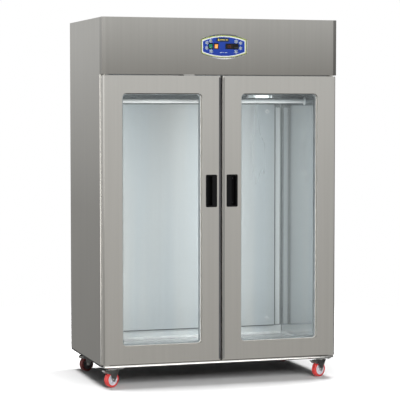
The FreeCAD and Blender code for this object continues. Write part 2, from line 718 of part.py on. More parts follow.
def condenser_rotor():
    """An axial rotor: blades pitched round a hub, with its shaft in the motor's bore."""
    hub = rod("fan_hub", "Y", 24, FAN_Y - 12, FAN_Y + 12, (COND_X, FAN_Z))
    shaft = rod("fan_shaft", "Y", SHAFT_RADIUS, CAN_END - 18, FAN_Y, (COND_X, FAN_Z))
    blades = []
    for number in range(FAN_BLADES):
        blade = doc.addObject("Part::Box", f"fan_blade_{number}")
        bind(blade, "Length", FAN_RADIUS - 20)
        bind(blade, "Width", 2)
        bind(blade, "Height", 46)
        turn = 360 / FAN_BLADES * number
        tilt = Rotation(Vector(1, 0, 0), 62)
        spin = Rotation(Vector(0, 1, 0), turn)
        start = spin.multVec(Vector(18, 0, 0) + tilt.multVec(Vector(0, -1, -23)))
        blade.Placement = Placement(start, spin.multiply(tilt))
        place(blade, COND_X + start.x, FAN_Y + start.y, FAN_Z + start.z)
        blades.append(blade)
    keep(joined("condenser_rotor", [hub, shaft] + blades), "condenser_rotor")


def electrical_box():
    deck = dim("deck_high")
    box = block("box_case", (-620, -420), (-120, 120), (deck, deck + 130))
    lid = block("box_lid", (-624, -416), (-124, 124), (deck + 130, deck + 136))
    keep(joined("electrical_box", [box, lid]), "electrical_box")


def cable_gland():
    """The cable's way out of the machine compartment, a nut on each side of the back panel."""
    spot = (GLAND_X, GLAND_Z)
    stem = rod("gland_stem", "Y", GLAND_RADIUS, BACK - 18, BACK + dim("gland_proud"), spot)
    outer = rod("gland_outer", "Y", 15, BACK, BACK + dim("gland_proud") - 2, spot)
    inner = rod("gland_inner", "Y", 15, BACK - SHEET - 6, BACK - SHEET, spot)
    bore = rod("gland_bore", "Y", GLAND_BORE, BACK - 20, BACK + dim("gland_proud") + 2, spot)
    keep(cut("cable_gland", joined("gland_solid", [stem, outer, inner]), bore), "cable_gland")


# Doors ------------------------------------------------------------------------------------------------

BOSS_RADIUS, BOSS_TALL, PIN_TALL, BRACKET_THICK = 12, 26, 22, 2
HANDLE_FLANGE, HANDLE_WALL, HANDLE_DEEP, LIP_WIDE = 5, 3, 38, 20


def window(side, grow):
    return rounded(side * (dim("window_inner") - grow), side * (dim("window_outer") + grow),
                   dim("window_low") - grow, dim("window_high") + grow, dim("window_radius") + grow)


def leaf(side):
    """The inside of a door's pan: further in at the two ends, where the front edges are round."""
    inset = dim("door_edge_radius") - SHEET
    return rectangle(side * (DOOR_INNER + inset), side * (DOOR_OUTER - inset),
                     dim("door_low") + SHEET, dim("door_high") - SHEET)


def leaf_plan(side):
    """A door seen from above: a bar with its two front edges rounded."""
    radius = dim("door_edge_radius")
    low, high = side * DOOR_INNER, side * DOOR_OUTER
    if side < 0:
        low, high = high, low
    points = [(low, DOOR_FACE + radius), (low + radius, DOOR_FACE), (high - radius, DOOR_FACE),
              (high, DOOR_FACE + radius), (high, DOOR_BACK), (low, DOOR_BACK)]
    return Outline(points, {0: radius, 2: radius})


def handle_outline(side, inset, radius):
    middle, level = dim("handle_centre"), dim("handle_level")
    half_wide, half_tall = dim("handle_wide") / 2 - inset, dim("handle_tall") / 2 - inset
    return rounded(side * (middle - half_wide), side * (middle + half_wide),
                   level - half_tall, level + half_tall, radius)


def door_skin(name, side):
    """A pan with a window, a hole for the handle, and a bored boss at each hinge pin."""
    body = extruded(f"door_skin_{name}", "Z", [leaf_plan(side)], dim("door_low"), dim("door_high"))
    pocket(body, "Y", [window(side, 0)], DOOR_FACE, DOOR_BACK)
    pocket(body, "Y", [leaf(side), window(side, SHEET)], DOOR_FACE + SHEET, DOOR_BACK)
    pocket(body, "Y", [handle_outline(side, HANDLE_FLANGE, 4)], DOOR_FACE, DOOR_FACE + SHEET)
    for low in (dim("door_low"), dim("door_high") - BOSS_TALL):
        pad(body, "Z", [Circle(side * HINGE_X, HINGE_Y, BOSS_RADIUS)], low, low + BOSS_TALL)
        bore = Circle(side * HINGE_X, HINGE_Y, dim("hinge_pin") + dim("fit"))
        pocket(body, "Z", [bore], low, low + BOSS_TALL)
    keep(body, f"door_skin_{name}")


def door_liner(name, side):
    keep(extruded(f"door_liner_{name}", "Y", [leaf(side), window(side, SHEET)],
                  DOOR_BACK - SHEET, DOOR_BACK), f"door_liner_{name}")


def door_glass(name, side):
    """Two panes with a spacer between their edges."""
    thick = dim("glass_thick")
    front = DOOR_FACE + dim("glass_setback")
    rear = front + thick + dim("glass_gap")
    panes = [
        extruded(f"pane_{place_name}_{name}", "Y", [window(side, 0)], low, low + thick)
        for place_name, low in (("outer", front), ("inner", rear))
    ]
    keep(bundled(f"door_glass_{name}", panes), f"door_glass_{name}")
    keep(extruded(f"glass_spacer_{name}", "Y", [window(side, 0), window(side, -10)],
                  front + thick, rear), f"glass_spacer_{name}")


GASKET_OUTER, GASKET_INNER, GASKET_END, GASKET_GAP = 672, 10, 7, 0.3


def gasket(name, side):
    wide = dim("gasket_wide")
    low, high = dim("door_low") + GASKET_END, dim("door_high") - GASKET_END
    outer = rounded(side * as_size(GASKET_INNER), side * as_size(GASKET_OUTER), low, high, 4)
    inner = rounded(side * (GASKET_INNER + wide), side * (GASKET_OUTER - wide),
                    low + wide, high - wide, 2)
    keep(extruded(f"door_gasket_{name}", "Y", [outer, inner], DOOR_BACK, BODY_FACE - GASKET_GAP),
         f"door_gasket_{name}")


def door_handle(name, side):
    """A recessed pull: a flange, a cup behind it, and a grip lip on the side by the meeting edge."""
    proud = DOOR_FACE - dim("bezel_proud")
    body = extruded(f"door_handle_{name}", "Y", [handle_outline(side, 0, 7)], proud, DOOR_FACE)
    pad(body, "Y", [handle_outline(side, HANDLE_FLANGE, 4)], DOOR_FACE, DOOR_FACE + HANDLE_DEEP)
    inset = HANDLE_FLANGE + HANDLE_WALL
    pocket(body, "Y", [handle_outline(side, inset, 3)], proud, DOOR_FACE + HANDLE_DEEP - HANDLE_WALL)
    edge = dim("handle_centre") - dim("handle_wide") / 2 + inset
    low = dim("handle_level") - dim("handle_tall") / 2 + inset
    high = dim("handle_level") + dim("handle_tall") / 2 - inset
    pad(body, "Y", [rectangle(side * (edge - 1), side * (edge + LIP_WIDE), low - 1, high + 1)],
        proud, DOOR_FACE + 2)
    keep(body, f"door_handle_{name}")


def hinge_brackets():
    """A plate with a pin above and below each door, fixed to the cabinet."""
    brackets = []
    for side_name, side in (("left", -1), ("right", 1)):
        near, far = side * (HINGE_X - 18), side * dim("strip_half")
        xs = (near, far) if side > 0 else (far, near)
        ys = (DOOR_FACE + 8, BODY_FACE)
        low = dim("strip_high")
        plate = block(f"bracket_low_{side_name}", xs, ys, (low, low + BRACKET_THICK))
        pin = rod(f"pin_low_{side_name}", "Z", dim("hinge_pin"), low, low + PIN_TALL,
                  (side * HINGE_X, HINGE_Y))
        brackets.append(joined(f"hinge_low_{side_name}", [plate, pin]))
        high = dim("fascia_low")
        plate = block(f"bracket_high_{side_name}", xs, ys, (high - BRACKET_THICK, high))
        pin = rod(f"pin_high_{side_name}", "Z", dim("hinge_pin"), high - PIN_TALL, high,
                  (side * HINGE_X, HINGE_Y))
        brackets.append(joined(f"hinge_high_{side_name}", [plate, pin]))
    keep(bundled("hinge_brackets", brackets), "hinge_brackets")


def door(name, side):
    door_skin(name, side)
    door_liner(name, side)
    door_glass(name, side)
    gasket(name, side)
    door_handle(name, side)


# Casters ------------------------------------------------------------------------------------------------

CORNERS = {"front_left": ("caster_left", -1), "front_right": ("caster_right", -1),
           "rear_left": ("caster_left", 1), "rear_right": ("caster_right", 1)}
AXLE_RADIUS, KINGPIN_RADIUS, LEG_IN, LEG_OUT = 6, 6, 17, 20
CROWN_LOW, CROWN_HIGH, HEAD_RADIUS, HEAD_HIGH, KINGPIN_HIGH = 97, 100, 22, 107.6, 111
PEDAL_PIVOT = (-54, 88)
PEDAL_PIN, PEDAL_HALF = 3, 13


def kingpin_place(corner):
    side, along = CORNERS[corner]
    return dim(side), along * dim("caster_along")


def stand(thing, corner):
    """Puts a caster piece, drawn round its kingpin with the wheel behind it at -X, under its corner."""
    x, y = kingpin_place(corner)
    thing.Placement = Placement(Vector(), Rotation(Vector(0, 0, 1), DRIVING["caster_turn"]))
    place(thing, x, y, 0)
    bind(thing, "Placement.Rotation.Angle", dim("caster_turn"))


def fork(corner):
    centre = (-dim("trail"), dim("wheel_radius"))
    crown = block(f"crown_{corner}", (-42, 24), (-LEG_OUT, LEG_OUT), (CROWN_LOW, CROWN_HIGH))
    leg = [(24, CROWN_HIGH), (20, 92), (-10, 37), (-30, 37), (-40, 76), (-62, 82), (-62, 96),
           (-42, CROWN_HIGH)]
    legs = [
        extruded(f"leg_{number}_{corner}", "Y", [Outline(leg[::-1])], low, low + LEG_OUT - LEG_IN)
        for number, low in enumerate((-LEG_OUT, LEG_IN))
    ]
    head = rod(f"head_{corner}", "Z", HEAD_RADIUS, CROWN_HIGH, HEAD_HIGH, (0, 0))
    kingpin = rod(f"kingpin_{corner}", "Z", KINGPIN_RADIUS, CROWN_HIGH, KINGPIN_HIGH, (0, 0))
    axle = rod(f"axle_{corner}", "Y", AXLE_RADIUS, -LEG_OUT - 4, LEG_OUT + 4, centre)
    nuts = [
        rod(f"nut_{number}_{corner}", "Y", 9, low, low + 5, centre)
        for number, low in enumerate((-LEG_OUT - 5, LEG_OUT))
    ]
    pedal_pin = rod(f"pedal_pin_{corner}", "Y", PEDAL_PIN, -LEG_OUT, LEG_OUT, PEDAL_PIVOT)
    piece = joined(f"caster_fork_{corner}", [crown, head, kingpin, axle, pedal_pin] + legs + nuts)
    stand(piece, corner)
    keep(piece, f"caster_fork_{corner}")


HUB_HALF, BOSS_HALF, HUB_BOSS, WEB_OUTER, WEB_DEEP = 13, 16.6, 11, 27, 5


def wheel(corner):
    centre = (-dim("trail"), dim("wheel_radius"))
    disc = rod(f"hub_disc_{corner}", "Y", dim("hub_radius"), -HUB_HALF, HUB_HALF, centre)
    recesses = []
    faces = ((-HUB_HALF - 1, WEB_DEEP - HUB_HALF), (HUB_HALF - WEB_DEEP, HUB_HALF + 1))
    for number, (low, high) in enumerate(faces):
        recesses.append(rod(f"web_{number}_{corner}", "Y", WEB_OUTER, low, high, centre))
    dished = cut(f"hub_dished_{corner}", disc, joined(f"webs_{corner}", recesses))
    boss = rod(f"hub_boss_{corner}", "Y", HUB_BOSS, -BOSS_HALF, BOSS_HALF, centre)
    bore = rod(f"hub_bore_{corner}", "Y", AXLE_RADIUS + dim("fit"), -BOSS_HALF - 1, BOSS_HALF + 1, centre)
    hub = cut(f"wheel_hub_{corner}", joined(f"hub_solid_{corner}", [dished, boss]), bore)
    stand(hub, corner)
    keep(hub, f"wheel_hub_{corner}")
    half = dim("tread_half")
    tyre = rounded_ends(f"tyre_round_{corner}",
                        rod(f"tyre_disc_{corner}", "Y", dim("wheel_radius"), -half, half, centre), 5)
    eye = rod(f"tyre_eye_{corner}", "Y", dim("hub_radius"), -half - 1, half + 1, centre)
    tread = cut(f"wheel_tread_{corner}", tyre, eye)
    stand(tread, corner)
    keep(tread, f"wheel_tread_{corner}")


def brake_pedal(corner):
    across, up = PEDAL_PIVOT
    arm = [(across, up - 4.5), (across, up + 5.5), (across - 6, up + 5.5), (-79.4, 101), (-82.4, 97),
           (-79.4, 94), (across - 8, up - 4)]
    body = extruded(f"brake_pedal_{corner}", "Y", [Outline(arm)], -PEDAL_HALF, PEDAL_HALF)
    pad(body, "Y", [Circle(across, up, 6)], -PEDAL_HALF, PEDAL_HALF)
    pocket(body, "Y", [Circle(across, up, PEDAL_PIN + dim("fit"))], -PEDAL_HALF, PEDAL_HALF)
    stand(body, corner)
    keep(body, f"brake_pedal_{corner}")


PLATE_HALF, BOLT_OFFSET, BOLT_RADIUS, BOLT_HEAD = 44, 34, 5, 3


def caster_plates():
    """Four square plates with bolt heads, each bored for its kingpin."""
    plates = []
    for corner in CORNERS:
        x, y = kingpin_place(corner)
        low, high = dim("plate_low"), dim("plate_high")
        plate = block(f"plate_{corner}", (x - PLATE_HALF, x + PLATE_HALF),
                      (y - PLATE_HALF, y + PLATE_HALF), (low, high))
        bolts = [
            rod(f"bolt_{a}_{b}_{corner}", "Z", BOLT_RADIUS, low - BOLT_HEAD, low,
                (x + a * BOLT_OFFSET, y + b * BOLT_OFFSET))
            for a in (-1, 1) for b in (-1, 1)
        ]
        bore = rod(f"plate_bore_{corner}", "Z", KINGPIN_RADIUS + dim("fit"), low - 1, high + 1, (x, y))
        plates.append(cut(f"plate_bored_{corner}", joined(f"plate_solid_{corner}", [plate] + bolts), bore))
    keep(bundled("caster_plates", plates), "caster_plates")


def check_all():
    """Stops on any feature that failed, and on any sub-part without a valid shape."""
    for item in doc.Objects:
        if {"Invalid", "Error"} & set(item.State):
            raise RuntimeError(f"{item.Name} failed: {item.State}")
    for node in nodes:
        if node.Shape.isNull() or not node.Shape.isValid() or not node.Shape.Solids:
            raise RuntimeError(f"{node.Label} has no valid solid")


def write_all():
    os.makedirs("parts", exist_ok=True)
    for node in nodes:
        node.Shape.exportStep(f"parts/{node.Label}.step")


side_panel("side_panel_left", -1)
side_panel("side_panel_right", 1)
back_panel()
top_cover()
base_pan()
front_strip()
insulation()
machine_deck()
liner()
door_frame()
duct_panel()
evaporator_housing()
evaporator_coil()
blower()
hanging_rail()
fascia()
label_plate()
controller()
rockers()
compressor()
condenser()
condenser_rotor()
electrical_box()
cable_gland()
hinge_brackets()
door("left", -1)
door("right", 1)
caster_plates()
for corner_name in CORNERS:
    fork(corner_name)
    wheel(corner_name)
brake_pedal("front_left")
brake_pedal("front_right")
doc.recompute()
check_all()
write_all()
print(len(nodes), "sub-parts written")
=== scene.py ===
"""The looks of the two-door proofing cabinet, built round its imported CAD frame."""

import json
from math import cos, pi, radians, sin, sqrt

import bmesh
import bpy
from mathutils import Matrix, Vector

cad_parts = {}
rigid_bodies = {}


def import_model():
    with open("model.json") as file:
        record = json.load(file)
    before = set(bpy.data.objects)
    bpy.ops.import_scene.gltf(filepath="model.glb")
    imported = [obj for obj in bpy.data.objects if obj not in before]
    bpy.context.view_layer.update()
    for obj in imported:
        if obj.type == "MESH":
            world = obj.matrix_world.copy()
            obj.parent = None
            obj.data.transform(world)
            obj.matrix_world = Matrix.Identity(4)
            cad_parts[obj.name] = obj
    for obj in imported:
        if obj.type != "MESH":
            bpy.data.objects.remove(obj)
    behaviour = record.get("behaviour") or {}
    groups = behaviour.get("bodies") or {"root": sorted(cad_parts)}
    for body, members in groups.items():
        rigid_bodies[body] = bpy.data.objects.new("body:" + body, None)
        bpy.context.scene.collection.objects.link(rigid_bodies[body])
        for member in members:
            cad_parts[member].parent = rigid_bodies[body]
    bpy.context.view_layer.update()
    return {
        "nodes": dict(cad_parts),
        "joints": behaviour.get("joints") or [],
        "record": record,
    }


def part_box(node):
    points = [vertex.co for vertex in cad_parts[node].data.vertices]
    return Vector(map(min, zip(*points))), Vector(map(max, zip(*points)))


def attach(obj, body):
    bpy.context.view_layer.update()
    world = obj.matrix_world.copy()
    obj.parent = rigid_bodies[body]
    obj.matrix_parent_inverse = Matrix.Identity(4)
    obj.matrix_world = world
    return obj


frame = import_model()
NODES = frame["nodes"]
JOINTS = {joint["name"]: joint for joint in frame["joints"]}
MM = 0.001
SIDES = ("left", "right")
CORNERS = ("front_left", "front_right", "rear_left", "rear_right")
UP = Vector((0, 0, 1))
BRIGHT_SLOT = "stainless_bright"

# ---- Materials ----


class Shader:
    """One material's node tree, with short calls for the nodes that the looks share."""

    def __init__(self):
        self.material = bpy.data.materials.new("look")
        self.material.use_nodes = True
        self.tree = self.material.node_tree
        self.tree.nodes.clear()
        self.output = self.node("ShaderNodeOutputMaterial")
        self.surface = self.node("ShaderNodeBsdfPrincipled")
        self.link(self.surface.outputs[0], self.output.inputs["Surface"])
        self.place = self.node("ShaderNodeTexCoord").outputs["Object"]

    def node(self, kind, **settings):
        made = self.tree.nodes.new(kind)
        for key, value in settings.items():
            setattr(made, key, value)
        return made

    def link(self, start, end):
        self.tree.links.new(start, end)

    def feed(self, made, **values):
        """Sets or links a node's inputs; an underscore stands for a space. Gives its first output."""
        for key, value in values.items():
            socket = made.inputs[key.replace("_", " ")]
            if isinstance(value, bpy.types.NodeSocket):
                self.link(value, socket)
            else:
                socket.default_value = value
        return made.outputs[0]

    def set(self, **values):
        """Sets or links the shader's own sockets."""
        self.feed(self.surface, **values)

    def stretched(self, scale):
        """The place in the frame, scaled by an amount for each axis."""
        return self.feed(self.node("ShaderNodeMapping"), Scale=scale, Vector=self.place)

    def noise(self, scale, detail=3.0, roughness=0.5):
        return self.feed(self.node("ShaderNodeTexNoise"), Scale=1.0, Detail=detail, Roughness=roughness,
                         Vector=self.stretched(scale))

    def cells(self, scale):
        made = self.node("ShaderNodeTexVoronoi")
        self.feed(made, Scale=1.0, Vector=self.stretched(scale))
        return made.outputs["Color"]

    def height(self, low, high):
        """0 at one height and 1 at another."""
        split = self.node("ShaderNodeSeparateXYZ")
        self.link(self.place, split.inputs[0])
        return self.between(split.outputs["Z"], low, high, 0.0, 1.0)

    def between(self, value, low, high, to_low, to_high):
        return self.feed(self.node("ShaderNodeMapRange"), Value=value, From_Min=low, From_Max=high,
                         To_Min=to_low, To_Max=to_high)

    def sum(self, first, second):
        made = self.node("ShaderNodeMath", operation="ADD")
        self.link(first, made.inputs[0])
        self.link(second, made.inputs[1])
        return made.outputs[0]

    def mix(self, share, first, second):
        """A colour between two; each is a colour or a socket."""
        made = self.node("ShaderNodeMix", data_type="RGBA")
        self.link(share, made.inputs["Factor"])
        for key, colour in (("A", first), ("B", second)):
            socket = next(s for s in made.inputs if s.name == key and s.type == "RGBA")
            if isinstance(colour, tuple):
                socket.default_value = (*colour, 1.0)
            else:
                self.link(colour, socket)
        return next(s for s in made.outputs if s.type == "RGBA")

    def blend(self, share, first, second):
        """The output's surface: one shader or another, by a share."""
        both = self.node("ShaderNodeMixShader")
        for place, socket in enumerate((share, first, second)):
            self.link(socket, both.inputs[place])
        self.link(both.outputs[0], self.output.inputs["Surface"])

    def bump(self, height, depth):
        self.set(Normal=self.feed(self.node("ShaderNodeBump"), Strength=1.0, Distance=depth, Height=height))


def shade(colour, factor):
    return tuple(channel * factor for channel in colour)


def brushed(tone, rough=0.3, grain=(420, 420, 5), streak=0.07, painted_reflection_tone=None, span=(0.1, 2.0)):
    """Brushed sheet: fine grain one way, broad faint streaks, and cloudy patches from cleaning.

    Towards the foot of the span of heights a darker tone takes over: a painted reflection of the darker
    room that the sheet reflects lower down.
    """
    s = Shader()
    s.set(Metallic=1.0)
    fine = s.noise(grain, 4.0, 0.6)
    broad = s.noise(shade(grain, 0.12), 2.0)
    cloud = s.noise((2.6, 2.6, 1.7), 3.0)
    colour = s.mix(broad, shade(tone, 1 - streak), shade(tone, 1 + streak))
    if painted_reflection_tone:
        low = s.mix(broad, shade(painted_reflection_tone, 1 - streak), shade(painted_reflection_tone, 1 + streak))
        colour = s.mix(s.height(*span), low, colour)
    grained = s.mix(s.between(fine, 0.3, 0.7, 0.0, 1.0), shade(tone, 0.9), shade(tone, 1.05))
    s.set(Base_Color=s.mix(s.between(cloud, 0.35, 0.7, 0.08, 0.2), colour, grained))
    s.set(Roughness=s.sum(s.between(cloud, 0.3, 0.7, rough - 0.03, rough + 0.03),
                          s.between(fine, 0.25, 0.75, -0.04, 0.05)))
    s.bump(fine, 0.012 * MM)
    return s.material


def satin(tone, rough, metallic, bands=(5.5, 5.5, 0.35)):
    """Rolled liner sheet: soft wide bands, a faint grain, and smears where it's been wiped."""
    s = Shader()
    s.set(Metallic=metallic)
    wide = s.noise(bands, 2.0, 0.4)
    grain = s.noise((34, 34, 0.7), 1.0)
    smear = s.noise((3, 3, 0.7), 1.0, 0.5)
    cool, warm = (tone[0] * 0.93, tone[1] * 0.97, tone[2]), (tone[0] * 1.04, tone[1] * 1.02, tone[2])
    banded = s.mix(s.between(wide, 0.35, 0.65, 0.0, 1.0), cool, warm)
    s.set(Base_Color=s.mix(s.between(grain, 0.3, 0.7, 0.0, 0.12), banded, shade(tone, 0.8)))
    s.set(Roughness=s.sum(s.between(smear, 0.3, 0.7, rough - 0.008, rough + 0.012),
                          s.between(grain, 0.3, 0.7, -0.001, 0.001)))
    s.bump(grain, 0.001 * MM)
    return s.material


def galvanised():
    """Zinc-coated sheet with its spangle of crystals and a dull bloom."""
    s = Shader()
    s.set(Metallic=0.9)
    spangle = s.cells((55, 55, 55))
    bloom = s.noise((6, 6, 6), 4.0)
    grey = s.mix(spangle, (0.47, 0.49, 0.50), (0.62, 0.64, 0.66))
    s.set(Base_Color=s.mix(s.between(bloom, 0.4, 0.7, 0.0, 0.4), grey, (0.70, 0.71, 0.70)))
    s.set(Roughness=s.between(bloom, 0.3, 0.7, 0.36, 0.52))
    s.bump(bloom, 0.05 * MM)
    return s.material


def cast_metal(tone, rough, metallic=1.0):
    """Plated or painted metal with a faint grainy skin and worn patches."""
    s = Shader()
    s.set(Metallic=metallic)
    grain = s.noise((700, 700, 700), 3.0)
    wear = s.noise((38, 38, 38), 5.0, 0.6)
    s.set(Base_Color=s.mix(s.between(wear, 0.35, 0.7, 0.0, 1.0), shade(tone, 0.82), shade(tone, 1.12)))
    s.set(Roughness=s.between(wear, 0.3, 0.7, rough - 0.07, rough + 0.1))
    s.bump(grain, 0.03 * MM)
    return s.material


def moulded(tone, rough, pebble=0.05, coat=0.0, sheen=0.0, shine=0.5):
    """Moulded plastic or rubber: pebbled skin and a slight drift in tone."""
    s = Shader()
    s.set(Coat_Weight=coat, Coat_Roughness=0.08, Sheen_Weight=sheen, Specular_IOR_Level=shine)
    skin = s.noise((900, 900, 900), 3.0)
    drift = s.noise((14, 14, 14), 4.0)
    s.set(Base_Color=s.mix(s.between(drift, 0.35, 0.7, 0.0, 1.0), shade(tone, 0.86), shade(tone, 1.12)))
    s.set(Roughness=s.sum(s.between(drift, 0.3, 0.7, rough - 0.05, rough + 0.06),
                          s.between(skin, 0.3, 0.7, -0.03, 0.05)))
    s.bump(skin, pebble * MM)
    return s.material


def printed(tone, low_tone):
    """Ink under a clear film: the tone deepens towards the lower edge, with a fine dot screen."""
    s = Shader()
    s.set(Coat_Weight=0.3, Coat_Roughness=0.12, Specular_IOR_Level=0.3)
    label_low, label_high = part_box("label_plate")
    dots = s.noise((2600, 2600, 2600), 1.0)
    upright = s.mix(s.height(label_low.z, label_high.z), low_tone, tone)
    s.set(Base_Color=s.mix(s.between(dots, 0.4, 0.6, 0.0, 0.12), upright, shade(tone, 1.3)))
    s.set(Roughness=s.between(dots, 0.3, 0.7, 0.28, 0.36))
    s.bump(dots, 0.01 * MM)
    return s.material


def lens(tone, glow):
    """A translucent rocker: clear coat over tinted plastic with a soft lit core."""
    s = Shader()
    s.set(Coat_Weight=0.8, Coat_Roughness=0.05, Subsurface_Weight=0.3, Subsurface_Scale=0.004)
    swirl = s.noise((160, 160, 160), 2.0)
    colour = s.mix(swirl, shade(tone, 0.85), shade(tone, 1.15))
    s.set(Base_Color=colour, Emission_Color=colour)
    s.set(Emission_Strength=glow)
    s.set(Roughness=s.between(swirl, 0.3, 0.7, 0.18, 0.27))
    s.bump(swirl, 0.02 * MM)
    return s.material


def glass():
    """A clear pane: mostly see-through, mirrored at a slant, with faint wiping marks."""
    s = Shader()
    s.tree.nodes.remove(s.surface)
    wiped = s.between(s.noise((5, 5, 1.4), 4.0, 0.6), 0.35, 0.75, 0.02, 0.09)
    through = s.feed(s.node("ShaderNodeBsdfTransparent"), Color=(0.975, 0.985, 0.985, 1.0))
    shine = s.feed(s.node("ShaderNodeBsdfGlossy"), Color=(0.95, 0.98, 1.0, 1.0), Roughness=wiped)
    s.blend(s.feed(s.node("ShaderNodeFresnel"), IOR=1.38), through, shine)
    return s.material


def lamp_lens():
    """The chamber lamp's diffuser: a pebbled lens, lit as a lamp, whose glow in patches along its tube is
    painted glare.
    """
    s = Shader()
    s.set(Coat_Weight=0.4, Coat_Roughness=0.1, Emission_Strength=1.5)
    pebbles = s.noise((400, 400, 400), 2.0)
    along = s.noise((15, 2, 2), 2.0)
    # Bright and dark patches along the tube: painted glare on the lamp.
    colour = s.mix(s.between(along, 0.52, 0.60, 0.0, 1.0), (0.20, 0.22, 0.22), (0.97, 0.99, 1.0))
    s.set(Base_Color=colour, Emission_Color=colour)
    s.set(Roughness=s.between(pebbles, 0.3, 0.7, 0.25, 0.4))
    s.bump(pebbles, 0.05 * MM)
    return s.material


def glowing(tone, strength):
    """A lit diffuser with a faint ribbed texture."""
    s = Shader()
    ribs = s.noise((900, 4, 4), 1.0)
    colour = s.mix(ribs, shade(tone, 0.9), tone)
    s.set(Base_Color=colour, Emission_Color=colour)
    s.set(Emission_Strength=strength)
    s.set(Roughness=s.between(ribs, 0.3, 0.7, 0.35, 0.5))
    return s.material


STEEL = (0.67, 0.655, 0.62)
# The darker tone the steels take towards their foot: painted reflection.
STEEL_PAINTED_REFLECTION = (0.60, 0.575, 0.53)
LINER = (0.76, 0.78, 0.785)
MATERIALS = {
    # Door, side and fascia steels are one stainless sheet in lighter and darker copies, each darker towards
    # the bottom: painted reflection.
    "door_steel": brushed(STEEL, 0.33, painted_reflection_tone=STEEL_PAINTED_REFLECTION),
    "side_steel": brushed(shade(STEEL, 0.97), 0.34, painted_reflection_tone=shade(STEEL_PAINTED_REFLECTION, 0.66),
                          span=(1.0, 2.0)),
    "fascia_steel": brushed(shade(STEEL, 0.79), 0.33, painted_reflection_tone=shade(STEEL_PAINTED_REFLECTION, 0.52),
                            span=(1.77, 2.09)),
    "edge_steel": brushed((0.84, 0.83, 0.79), 0.26, (5, 420, 420), 0.05),
    "trim_steel": brushed((0.93, 0.92, 0.89), 0.22, (420, 420, 5), 0.03),
    # A darkened copy of the door steel for the right door's closing edge: painted shade.
    "closing_steel_painted_shade": brushed((0.34, 0.335, 0.32), 0.3, (420, 420, 5), 0.03),
    "liner_steel": satin(LINER, 0.28, 0.5),
    # The walls' and floor's copies of the liner sheet are toned darker: painted shade.
    "liner_wall_steel": satin(shade(LINER, 0.74), 0.16, 0.72),
    "liner_floor_steel": satin(shade(LINER, 0.92), 0.24, 0.5, (0.8, 6, 6)),
    "cover_steel": satin((0.88, 0.90, 0.90), 0.3, 0.2),
    # Dark steel for the evaporator housing, the ceiling and the rail plates: painted shade of the chamber's
    # upper band.
    "hood_steel_painted_shade": satin((0.24, 0.26, 0.265), 0.26, 0.85, (0.8, 6, 6)),
    # Dark grey for the strips that paint the shadow in the chamber's gaps.
    "seam_painted_shade": moulded((0.10, 0.115, 0.12), 0.5, 0.02),
    "underseal": moulded((0.035, 0.036, 0.038), 0.8, 0.3, shine=0.2),
    # Near-black for the strip under the duct panel: painted shade.
    "painted_shade_black": moulded((0.03, 0.034, 0.036), 0.6),
    "galvanised": galvanised(),
    "foam": moulded((0.80, 0.74, 0.52), 0.85, 0.3),
    "fin_aluminium": cast_metal((0.74, 0.75, 0.77), 0.32),
    "black_paint": cast_metal((0.035, 0.035, 0.04), 0.42, 0.0),
    "polished_tube": satin((0.93, 0.94, 0.94), 0.12, 0.35, (0.8, 60, 60)),
    "label_blue": printed((0.012, 0.06, 0.40), (0.01, 0.04, 0.33)),
    "label_white": printed((0.85, 0.88, 0.90), (0.80, 0.84, 0.88)),
    "label_lime": printed((0.62, 0.72, 0.16), (0.66, 0.70, 0.26)),
    "label_dark": printed((0.012, 0.03, 0.10), (0.01, 0.02, 0.07)),
    "label_yellow": printed((0.85, 0.70, 0.10), (0.80, 0.62, 0.08)),
    "label_frost": printed((0.72, 0.82, 0.95), (0.66, 0.78, 0.94)),
    "black_plastic": moulded((0.009, 0.009, 0.010), 0.45, 0.04, shine=0.25),
    "display_glass": moulded((0.010, 0.004, 0.004), 0.18, 0.0, 0.2, shine=0.3),
    "segment_red": glowing((0.22, 0.02, 0.01), 0.05),
    "grey_plastic": moulded((0.42, 0.43, 0.44), 0.5),
    "zinc": cast_metal((0.60, 0.60, 0.58), 0.30),
    "green_lens": lens((0.01, 0.22, 0.12), 0.08),
    "orange_lens": lens((0.92, 0.38, 0.08), 0.25),
    "button_rubber": moulded((0.10, 0.10, 0.11), 0.7),
    "window_glass": glass(),
    "seal": moulded((0.86, 0.88, 0.88), 0.35, 0.02, 0.3),
    "bright_white": moulded((0.96, 0.97, 0.97), 0.22, 0.01, 0.6),
    "spacer_black": moulded((0.62, 0.66, 0.67), 0.45),
    "gasket_rubber": moulded((0.06, 0.06, 0.065), 0.62, 0.1, 0.0, 0.2),
    "handle_plastic": moulded((0.004, 0.004, 0.0045), 0.5, 0.04, shine=0.15),
    "hub_nylon": moulded((0.80, 0.79, 0.84), 0.32, 0.03, 0.2),
    "tread_red": moulded((0.74, 0.055, 0.05), 0.36, 0.05, 0.3),
    # Darker copies of the tread and hub for the rear wheels: painted shade.
    "tread_painted_shade": moulded((0.16, 0.022, 0.018), 0.55, 0.08),
    "hub_painted_shade": moulded((0.11, 0.10, 0.10), 0.5, 0.05),
    "lamp": lamp_lens(),
    "copper": cast_metal((0.80, 0.42, 0.26), 0.28),
    "plate": moulded((0.70, 0.71, 0.70), 0.4, 0.02),
}
for look_name, look_material in MATERIALS.items():
    look_material.name = look_name
